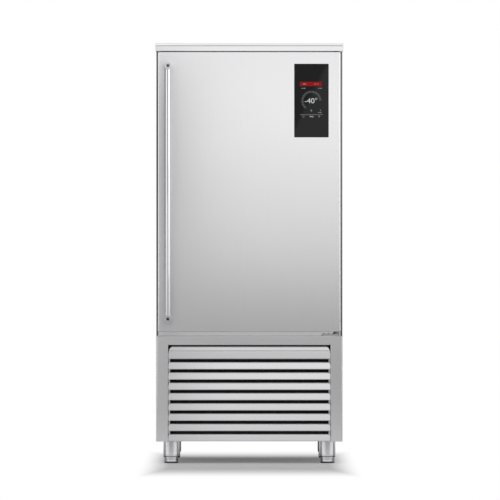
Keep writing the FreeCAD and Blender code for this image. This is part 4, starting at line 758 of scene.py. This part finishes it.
grille_low, grille_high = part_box("grille")
pin_length = 0.006
slat_half = grille_high.x - pin_length
slat_sheet, slat_lean, face_lean, roll = 0.0012, 0.012, 0.0088, 0.0045
slat_gap, slat_trim, top_slat = 0.0135, 0.0025, 0.0537
lower_slats = 8
slat_step = (grille_high.z - grille_low.z - top_slat) / lower_slats


def slat(base, height, trim_width, trim_height, crease=()):
    """One slat: in Y and Z it goes forward along its hem, then up its leaning face, with a
    crease where it has one. Its half width is cut near the top by a quarter ellipse of the
    trim's two sizes."""
    front = grille_low.y
    lean = face_lean / height
    hem = [(front + slat_lean, base), (front, base)]
    groove = [(front + lean * rise + sink, base + rise) for rise, sink in crease]
    path = eased(hem + groove + [(front + face_lean, base + height - roll),
                                 (front + slat_lean, base + height)], 0.0012, 5)

    def put(skin, end):
        """Points of a skin at the trimmed half width."""
        into = np.clip((skin[:, 1] - (base + height - trim_height)) / trim_height, 0, 1)
        cut = trim_width * (1 - np.sqrt(1 - into ** 2))
        return np.stack([end * (slat_half - cut), skin[:, 0], skin[:, 1]], -1)

    return bent_sheet(path, -slat_sheet, put)


slats = []
trim_width, trim_height, top_trim_width, top_trim_height = 0.010, 0.012, 0.016, 0.038
for number in range(lower_slats):
    slats += slat(grille_low.z + slat_step * number + slat_trim, slat_step - slat_gap - slat_trim,
                  trim_width, trim_height)
groove_low, groove_width, groove_depth = 0.0310, 0.0034, 0.0030
groove = ((groove_low, 0), (groove_low + groove_width / 2, groove_depth),
          (groove_low + groove_width, 0))
slats += slat(grille_high.z - top_slat + slat_trim, top_slat - slat_trim, top_trim_width,
              top_trim_height, groove)

cheek_front, cheek_width, cheek_depth = grille_low.y + slat_lean, 0.007, 0.020
cheek_ends = {-1: grille_low.z, 1: grille_high.z - top_trim_height}
tilt_pin = eased([(0, 0), (0.003, 0), (0.003, pin_length), (0, pin_length)], 0.0005)
tilt_y, tilt_z = -0.356, 0.105
for side in (-1, 1):
    cheek = eased([(side * (slat_half - cheek_width), cheek_front), (side * slat_half, cheek_front),
                   (side * slat_half, cheek_front + cheek_depth)], 0.002)
    slats += bent_sheet(cheek, side * -slat_sheet, standing(cheek_ends))
    pin_start = slat_half if side > 0 else -slat_half - pin_length
    slats.append(turned(tilt_pin, (pin_start, tilt_y, tilt_z), "X", 24))
slat_steel = brushed("slat_brushed_steel", (0.645, 0.645, 0.65), 0.30, "X")
build("louvred_grille", slats, "grille", slat_steel)


# ------------------------------------------------------------------ condenser filter
# A washable pad of fine dark mesh in a frame, which stands on the base tray behind the slats.
# Its weave is two crossed rows of wires, a millimetre and a half apart.

mesh_dark = Finish("filter_mesh", (0.006, 0.006, 0.007), 0, 0.75)
weave_place = mesh_dark.node("ShaderNodeTexCoord", output="Object")
wires = [mesh_dark.node("ShaderNodeTexWave", {"bands_direction": axis, "wave_profile": "SIN"},
                        {"Vector": weave_place, "Scale": 210}, output=1) for axis in "XZ"]
weave = wires[0] | wires[1]
mesh_dark.tint(weave, 0.5, 1.5)
mesh_dark.bump(weave, 0.0003)
clothe(mesh_dark, "condenser_filter")


# ------------------------------------------------------------------ feet
# Each foot is a bright turned cylinder with a grooved band, on a black sole. It slides in a
# steel sleeve under the base tray, whose rim is turned in.

rubber = grained("black_rubber", (0.018, 0.018, 0.018), 0.6, 600, 0.7, 1.4, 0.00008)
sleeve_steel = polished("sleeve_steel", (0.66, 0.66, 0.67), 0.20)
# The rear feet's shanks and the rear pair of sleeves are painted near black: painted shade, where
# they stand in the shadow under the cabinet.
rear_shade_steel = polished("painted_shade_rear_steel", (0.06, 0.06, 0.06), 0.35)
rear_pair_shade = sleeve_steel.slope(sleeve_steel.part("Object", "Y"), -0.01, 0.01)
sleeve_steel.feed("Base Color", sleeve_steel.blend(rear_pair_shade, sleeve_steel.colour, grey(0.06)))
foot_nodes = ("foot_front_left", "foot_front_right", "foot_back_left", "foot_back_right")
sleeve_low, sleeve_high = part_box("foot_sleeves")
sleeve_radius, sleeve_wall, sleeve_groove = 0.035, 0.0038, 0.0006
sleeve_bore = sleeve_radius - sleeve_wall
sleeve_profile = eased([(sleeve_bore, sleeve_high.z - sleeve_wall), (sleeve_bore, sleeve_low.z),
                        (sleeve_radius, sleeve_low.z), (sleeve_radius, sleeve_low.z + 0.004),
                        (sleeve_radius - sleeve_groove, sleeve_low.z + 0.0046),
                        (sleeve_radius - sleeve_groove, sleeve_low.z + 0.0054),
                        (sleeve_radius, sleeve_low.z + 0.006), (sleeve_radius, sleeve_high.z),
                        (0, sleeve_high.z)], 0.0007)
shank_foot, sole_height, band, neck, neck_top = 0.0045, 0.0050, 0.0010, 0.0012, 0.0062
bush_play, bush_wall, bush_drop = 0.0002, 0.0022, 0.0035
sleeves, bushes = [], []
for name in foot_nodes:
    low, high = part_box(name)
    centre = (*((low + high) / 2).xy, 0)
    radius = (high.x - low.x) / 2
    shank = eased([(0, shank_foot), (radius - neck, shank_foot), (radius - neck, neck_top),
                   (radius, neck_top + band), (radius, 0.0165), (radius - band, 0.0173),
                   (radius - band, 0.0185), (radius, 0.0193), (radius, high.z), (0, high.z)],
                  0.0006)
    build(f"{name}_shank", [turned(shank, centre, "Z", 72)], name,
          rear_shade_steel if "back" in name else bright_steel)
    sole = eased([(0, 0), (radius - 0.0020, 0), (radius - 0.0006, 0.0012),
                  (radius - 0.0006, sole_height), (0, sole_height)], 0.0006)
    build(f"{name}_pad", [turned(sole, centre, "Z", 72)], name, rubber)
    sleeves.append(turned(sleeve_profile, centre, "Z", 72))
    bore, foot = radius + bush_play, sleeve_low.z - bush_drop
    lip = eased([(bore, sleeve_low.z), (bore, foot), (bore + bush_wall, foot),
                 (bore + bush_wall, sleeve_low.z)], 0.0004)
    bushes.append(turned(lip, centre, "Z", 72))
build("leg_sleeves", sleeves, "foot_sleeves", sleeve_steel)
build("sleeve_bushes", bushes, "foot_sleeves", rubber)


# ------------------------------------------------------------------ chamber
# A deep-drawn liner with rounded corners behind a steel frame and a plastic thermal break.
# Angle runners on channel posts hold fourteen trays, and a plug closes the floor's drain.

liner_steel = brushed("liner_satin_steel", (0.60, 0.60, 0.605), 0.34, "X")
merged("chamber_lining", "liner", liner_steel)
frame_steel = Finish("bright_frame_steel", (0.94, 0.94, 0.95), 1, 0.12)
# The frame's two sides beside the door's edges are painted near black and made rougher: painted
# shade where the door shadows them.
frame_side = skin_high.x - 0.001
painted_side_shade = frame_steel.slope(abs(frame_steel.part("Object", "X")), frame_side, frame_side + 0.001)
frame_steel.feed("Base Color", frame_steel.blend(painted_side_shade, frame_steel.colour, grey(0.17)))
frame_steel.feed("Roughness", frame_steel.noise([60] * 3) * 0.04 + painted_side_shade * 0.25 + 0.09)
merged("opening_frame", "door_frame", frame_steel)
dark_plastic = grained("dark_plastic", (0.05, 0.05, 0.055), 0.5, 900, 0.8, 1.25, 0.00005)
merged("thermal_break", "breaker_strip", dark_plastic)
clothe(liner_steel, "rack_posts", "tray_runners_left", "tray_runners_right")
merged("floor_plug", "drain_plug", bright_steel)
clothe(nylon, "probe_gland")


# ------------------------------------------------------------------ door gasket
# A magnetic seal of black plastic, pushed into the inner panel: a flat foot, a bellows and a
# soft head that carries the magnet, mitred at the four corners.

gasket_low, gasket_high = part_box("door_gasket")
foot_half, neck_half, head_half = 0.007, 0.0038, 0.009
depth = gasket_high.y - gasket_low.y
half_width = [foot_half, foot_half, neck_half, neck_half + 0.0012, neck_half, head_half, head_half,
              head_half - 0.002]
rise = [0, 0.0026, 0.0034, 0.0052, 0.0068, 0.0076, depth - 0.0012, depth]
across = np.array(half_width + [-width for width in half_width[::-1]])
forward = np.array(rise + rise[::-1])


def mitred_ring(across, forward, low, high, middle, start):
    """A section carried round an upright rectangle: a section's point that lies a distance
    outside the ring's middle line lies as far outside it on all four sides."""
    sides = np.array([(-1, -1), (1, -1), (1, 1), (-1, 1)])
    centre, half = np.array(((low + high) / 2).xz), np.array(((high - low) / 2).xz) - middle
    reach = half[None, None, :] + across[None, :, None]
    flat = centre + sides[:, None, :] * reach
    points = np.stack([flat[..., 0], np.broadcast_to(start + forward, flat.shape[:2]),
                       flat[..., 1]], -1)
    return lattice(points, close_rows=True, close_columns=True)


seal = mitred_ring(across, forward, gasket_low, gasket_high, head_half, gasket_low.y)
build("bellows_seal", [seal], "door_gasket", rubber, 50)


# ------------------------------------------------------------------ fans
# Moulded axial fans with five twisted blades on a hub. The condenser's fan pulls air through
# the shroud, and two smaller ones blow it over the evaporator behind a hinged panel.

def blade_ring(centre, hub, tip, count, middle, depth):
    """Twisted blades. At radius r and share u of the chord, from -1 to 1, the point turns by u
    times two thirds of the chord over r, swept forward towards the tip, and stands u times the
    pitch off the middle plus a camber of 1 - u^2. The section is an ellipse that closes to a
    line at the tip."""
    rings, points_round, half_thick, sweep = 16, 28, 0.0016, 0.35
    radius = np.append(np.linspace(hub * 0.94, tip, rings), tip)[:, None, None]
    part = np.clip((radius - hub) / (tip - hub), 0, 1)
    loop = np.linspace(0, 2 * math.pi, points_round, endpoint=False)[None, :, None]
    share = np.cos(loop)
    thick = np.sin(loop) * half_thick * np.append(np.ones(rings), 0)[:, None, None]
    chord = hub + (tip * 0.42 - hub * 0.6) * part
    turn = share * chord / radius * 0.675 + part * sweep
    turn = turn + (2 * math.pi * np.arange(count) / count)[None, None, :]
    lift = depth * 0.42 * (1 - 0.35 * part) * share + thick
    camber = 0.10 * depth * (1 - share ** 2) * (1 - part * 0.5)
    points = np.stack([centre[0] + radius * np.cos(turn),
                       np.broadcast_to(middle + lift + camber, turn.shape),
                       centre[2] + radius * np.sin(turn)], -1)
    return [lattice(points[:, :, number], close_columns=True) for number in range(count)]


hub, hub_depth, bore, bore_floor = 0.034, 0.034, 0.0052, 0.0085
shell = eased([(bore, bore_floor), (bore, hub_depth), (hub - 0.003, hub_depth), (hub, 0.030),
               (hub, 0.007), (hub * 0.8, 0.0015), (0, 0)], 0.003)
for node in ("condenser_fan", "evaporator_fan_lower", "evaporator_fan_upper"):
    low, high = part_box(node)
    tip = (high.z - low.z) / 2 * 0.985
    middle = (low + high) / 2
    centre = (middle.x, low.y, middle.z)
    rotor = [turned(shell, centre, "Y", 48),
             turned([(bore, bore_floor), (0, bore_floor)], centre, "Y", 48)]
    rotor += blade_ring(centre, hub, tip, 5, low.y + hub_depth / 2, hub_depth * 0.8)
    build(f"{node}_rotor", rotor, node, dark_plastic, 40)


# ------------------------------------------------------------------ air side
# The fan panel is folded sheet with barred openings. Behind it stands the evaporator, thin
# aluminium fins on copper tubes between end plates, in a duct of two side plates.

def blocks(lows, highs):
    """Many upright boxes at once, from arrays of their lower and upper corners."""
    lows, highs = (np.asarray(ends, float)[:, None] for ends in (lows, highs))
    pick = np.array([(x, y, z) for z in (0, 1) for x, y in ((0, 0), (1, 0), (1, 1), (0, 1))])
    return boxed(lows + pick * (highs - lows))


def tube_along(path, radius, sides=16):
    """Round tube along a path: the ring at each point is spanned by two directions square to
    the path, the first also square to the diagonal of the axes, which no pipe here follows."""
    path = np.asarray(path, float)
    along = np.gradient(path, axis=0)
    along /= np.linalg.norm(along, axis=1, keepdims=True)
    first = np.cross(along, (1.0, 1.0, 1.0))
    first /= np.linalg.norm(first, axis=1, keepdims=True)
    second = np.cross(along, first)
    turn = np.linspace(0, 2 * math.pi, sides, endpoint=False)[None, :, None]
    round_path = np.cos(turn) * first[:, None] + np.sin(turn) * second[:, None]
    return capped(path[:, None] + radius * round_path)


aluminium = Finish("fin_aluminium", (0.72, 0.73, 0.74), 1, 0.42)
aluminium.tint(aluminium.noise([300, 40, 3], 3), 0.85, 1.05)
copper = Finish("copper_tube", (0.80, 0.38, 0.22), 1, 0.30)
patina = copper.noise([35] * 3, 4)
copper.tint(patina, 0.72, 1.08)
copper.feed("Roughness", patina * 0.25 + 0.18)


def finned_coil(node, depth, name):
    """Fins every six millimetres between two end plates, with return bends on the right."""
    low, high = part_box(node)
    bend, tube, plate = 0.0125, 0.005, 0.003
    fin, fin_step, fin_trim, row_step, row_margin = 0.0006, 0.006, 0.001, 0.060, 0.035
    right, tube_start = high.x - bend - tube, low.x + 0.010
    lefts = np.arange(low.x + 2 * plate, right - plate - 0.002, fin_step)
    ones = np.ones_like(lefts)
    fins = blocks(np.stack([lefts, low.y * ones, (low.z + fin_trim) * ones], -1),
                  np.stack([lefts + fin, (low.y + depth) * ones, (high.z - fin_trim) * ones], -1))
    ends = blocks([(low.x, low.y, low.z), (right - plate, low.y, low.z)],
                  [(low.x + plate, high.y, high.z), (right, high.y, high.z)])
    build(f"{name}_fins", [fins, ends], node, aluminium, 20)
    turn = np.linspace(0, math.pi, 9)
    tubes = []
    for row in np.arange(low.z + row_margin, high.z - row_margin, row_step):
        for line in (low.y + depth * 0.30, low.y + depth * 0.70):
            curve = np.stack([right + bend * np.sin(turn), np.full(len(turn), line),
                              row + bend - bend * np.cos(turn)], -1)
            path = np.vstack([[(tube_start, line, row)], curve,
                              [(tube_start, line, row + 2 * bend)]])
            tubes.append(tube_along(path, tube, 10))
    build(f"{name}_tubes", tubes, node, copper)


finned_coil("evaporator_coil", 0.090, "evaporator")
for name, node in (("baffle_panel", "fan_panel"), ("duct_plates", "duct_frame")):
    merged(name, node, liner_steel)
black_paint = grained("black_enamel", (0.012, 0.012, 0.013), 0.32, 180, 0.8, 1.3, 0.00008)


def motor(low, high, height, radius):
    """Turned motor can with a shaft in front, a shoulder, a cooling groove and an eased end."""
    shaft_radius, shaft, shoulder, groove = 0.005, 0.0335, 0.006, radius * 0.965
    length = high.y - low.y
    body = length - shaft
    profile = eased([(0, 0), (shaft_radius, 0), (shaft_radius, shaft), (radius * 0.8, shaft),
                     (radius, shaft + shoulder), (radius, shaft + body * 0.42),
                     (groove, shaft + body * 0.44), (groove, shaft + body * 0.50),
                     (radius, shaft + body * 0.52), (radius, length - shoulder),
                     (radius * 0.8, length), (0, length)], 0.002)
    return turned(profile, (((low + high) / 2).x, low.y, height), "Y", 48)


low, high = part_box("evaporator_motors")
blower_radius = 0.036
build("blower_motors", [motor(low, high, height, blower_radius)
                        for height in (low.z + blower_radius, high.z - blower_radius)],
      "evaporator_motors", black_paint)


# ------------------------------------------------------------------ machine bay
# Galvanised sheet makes the bay's floor, its posts, the bulkhead over it and the shroud between
# the condenser and its fan. The condenser is finned like the evaporator, and a small black motor
# stands behind its fan.

bay_steel = brushed("galvanised_sheet", (0.50, 0.51, 0.52), 0.42, "X")
clothe(bay_steel, "bulkhead", "base_tray", "bay_posts")
merged("fan_shroud", "condenser_shroud", bay_steel)
finned_coil("condenser_coil", 0.080, "condenser")
low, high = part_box("condenser_motor")
build("fan_motor", [motor(low, high, ((low + high) / 2).z, 0.042)], "condenser_motor", black_paint)


# ------------------------------------------------------------------ compressor
# A hermetic can of pressed steel, welded round its middle and painted black, with a relay box on
# its back. It stands on a foot plate over four waisted rubber mounts.

can_low, can_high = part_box("compressor")
can_x, can_y, can_radius = 0.275, 0.090, 0.112
can_wall, seam_low, seam_high = can_radius * 0.985, 0.140, 0.152
plate_top, plate_half = can_low.z + 0.004, 0.106
can_top = can_high.z - 0.016
can = eased([(0, plate_top), (can_radius * 0.90, plate_top), (can_wall, plate_top + 0.020),
             (can_wall, plate_top + seam_low), (can_radius, plate_top + seam_low + 0.002),
             (can_radius, plate_top + seam_high - 0.002), (can_wall, plate_top + seam_high),
             (can_wall, can_top - 0.062), (can_radius * 0.80, can_top - 0.014),
             (can_radius * 0.40, can_top), (0, can_top)], 0.030, 9)
can_foot = Vector((can_x, can_y, plate_top))
relay = tablet(can_foot + Vector((-0.042, 0.085, 0.171)), can_foot + Vector((0.042, 0.130, 0.234)),
               "Y", 0.006, 0.004)
foot_plate = tablet((can_low.x, can_y - plate_half, can_low.z),
                    (can_x + plate_half, can_y + plate_half, plate_top), "Z", 0.014, 0.001)
build("hermetic_can", [turned(can, (can_x, can_y, 0), "Z", 72), relay, foot_plate], "compressor",
      black_paint, 35)

grommet_low, grommet_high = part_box("compressor_grommets")
tall = grommet_high.z - grommet_low.z
mount_radius, waist_radius, mount_place = 0.0130, 0.0100, 0.092
waisted = eased([(0, 0), (mount_radius, 0), (mount_radius, tall * 0.35), (waist_radius, tall * 0.5),
                 (mount_radius, tall * 0.65), (mount_radius, tall), (0, tall)], 0.002)
grommets = [turned(waisted, (can_x + side, can_y + end, grommet_low.z), "Z", 32)
            for side in (-mount_place, mount_place) for end in (-mount_place, mount_place)]
build("rubber_mounts", grommets, "compressor_grommets", rubber)


# ------------------------------------------------------------------ receiver and drier
# The liquid receiver is an upright welded vessel with domed ends and a valve on top. The filter
# drier is a spun copper cartridge, drawn in to a spout at both ends.

low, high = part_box("liquid_receiver")
vessel_radius, valve_radius, dome = (high.x - low.x) / 2, 0.0079, 0.022
vessel_top = high.z - 0.008
vessel = eased([(0, low.z), (vessel_radius * 0.75, low.z), (vessel_radius, low.z + dome),
                (vessel_radius, vessel_top - dome), (vessel_radius * 0.75, vessel_top),
                (valve_radius, vessel_top), (valve_radius, high.z), (0, high.z)], 0.012, 7)
build("receiver_vessel", [turned(vessel, (*((low + high) / 2).xy, 0), "Z", 56)],
      "liquid_receiver", black_paint)

drier_low, drier_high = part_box("filter_drier")
drier_radius, drier_length = 0.024, drier_high.y - drier_low.y
spout_radius, spout, cone = 0.0065, 0.010, 0.026
drier = eased([(0, 0), (spout_radius, 0), (spout_radius, spout), (drier_radius, cone),
               (drier_radius, drier_length - cone), (spout_radius, drier_length - spout),
               (spout_radius, drier_length), (0, drier_length)], 0.006)
drier_x, drier_z = ((drier_low + drier_high) / 2).xz
build("drier_can", [turned(drier, (drier_x, drier_low.y, drier_z), "Y", 40)], "filter_drier",
      copper)


# ------------------------------------------------------------------ copper lines
# Copper tubes, bent and brazed: the suction line down from the evaporator, the hot line to
# the condenser, and the liquid line through the receiver and the drier back up.

def piped(points, radius, bend=0.018):
    """Round pipe along straight runs joined by smooth bends."""
    return tube_along(eased(points, bend, 9), radius, 16)


suction_radius, liquid_radius, spout_lap = 0.0078, 0.0048, 0.004
riser_y, coil_foot = 0.318, 0.760
suction_x, liquid_x = 0.200, 0.140
over = 0.478
suction_y, hot_y, stub_z = can_y + 0.018, can_y - 0.018, can_top - 0.030
inlet_y, inlet_z, outlet_z = -0.2567, 0.461, 0.133
receiver_x, receiver_y, receiver_z = 0.113, 0.100, 0.397
condenser_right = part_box("condenser_coil")[1].x - 0.0175
clear_x = condenser_right + 0.0216
lines = [
    piped([(suction_x, riser_y, coil_foot), (suction_x, riser_y, over),
           (suction_x, suction_y, over), (suction_x, suction_y, stub_z)], suction_radius),
    piped([(suction_x, hot_y, stub_z), (suction_x, hot_y, over), (suction_x, inlet_y, over),
           (suction_x, inlet_y, inlet_z), (condenser_right, inlet_y, inlet_z)], liquid_radius),
    piped([(condenser_right, inlet_y, outlet_z), (clear_x, inlet_y, outlet_z),
           (clear_x, receiver_y, outlet_z), (receiver_x, receiver_y, outlet_z)], liquid_radius),
    piped([(drier_x, receiver_y, receiver_z), (drier_x, receiver_y, drier_z),
           (drier_x, drier_low.y + spout_lap, drier_z)], liquid_radius),
    piped([(drier_x, drier_high.y - spout_lap, drier_z), (drier_x, riser_y, drier_z),
           (liquid_x, riser_y, drier_z), (liquid_x, riser_y, coil_foot)], liquid_radius),
]
build("copper_lines", lines, "refrigerant_pipes", copper, 40)


# ------------------------------------------------------------------ controls and drain
# A zinc-coated box holds the controls, with a plastic gland for the cable in the back. Melt
# water runs from the chamber down a plastic tube into a pan of the same sheet as the box.

box_low, box_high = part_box("electrical_box")
build("control_box", [tablet(box_low, box_high, "Y", 0.004, 0.003)], "electrical_box", bay_steel)
merged("melt_pan", "condensate_pan", bay_steel)
merged("drain_tube", "drain_pipe", nylon)
clothe(dark_plastic, "cable_gland")
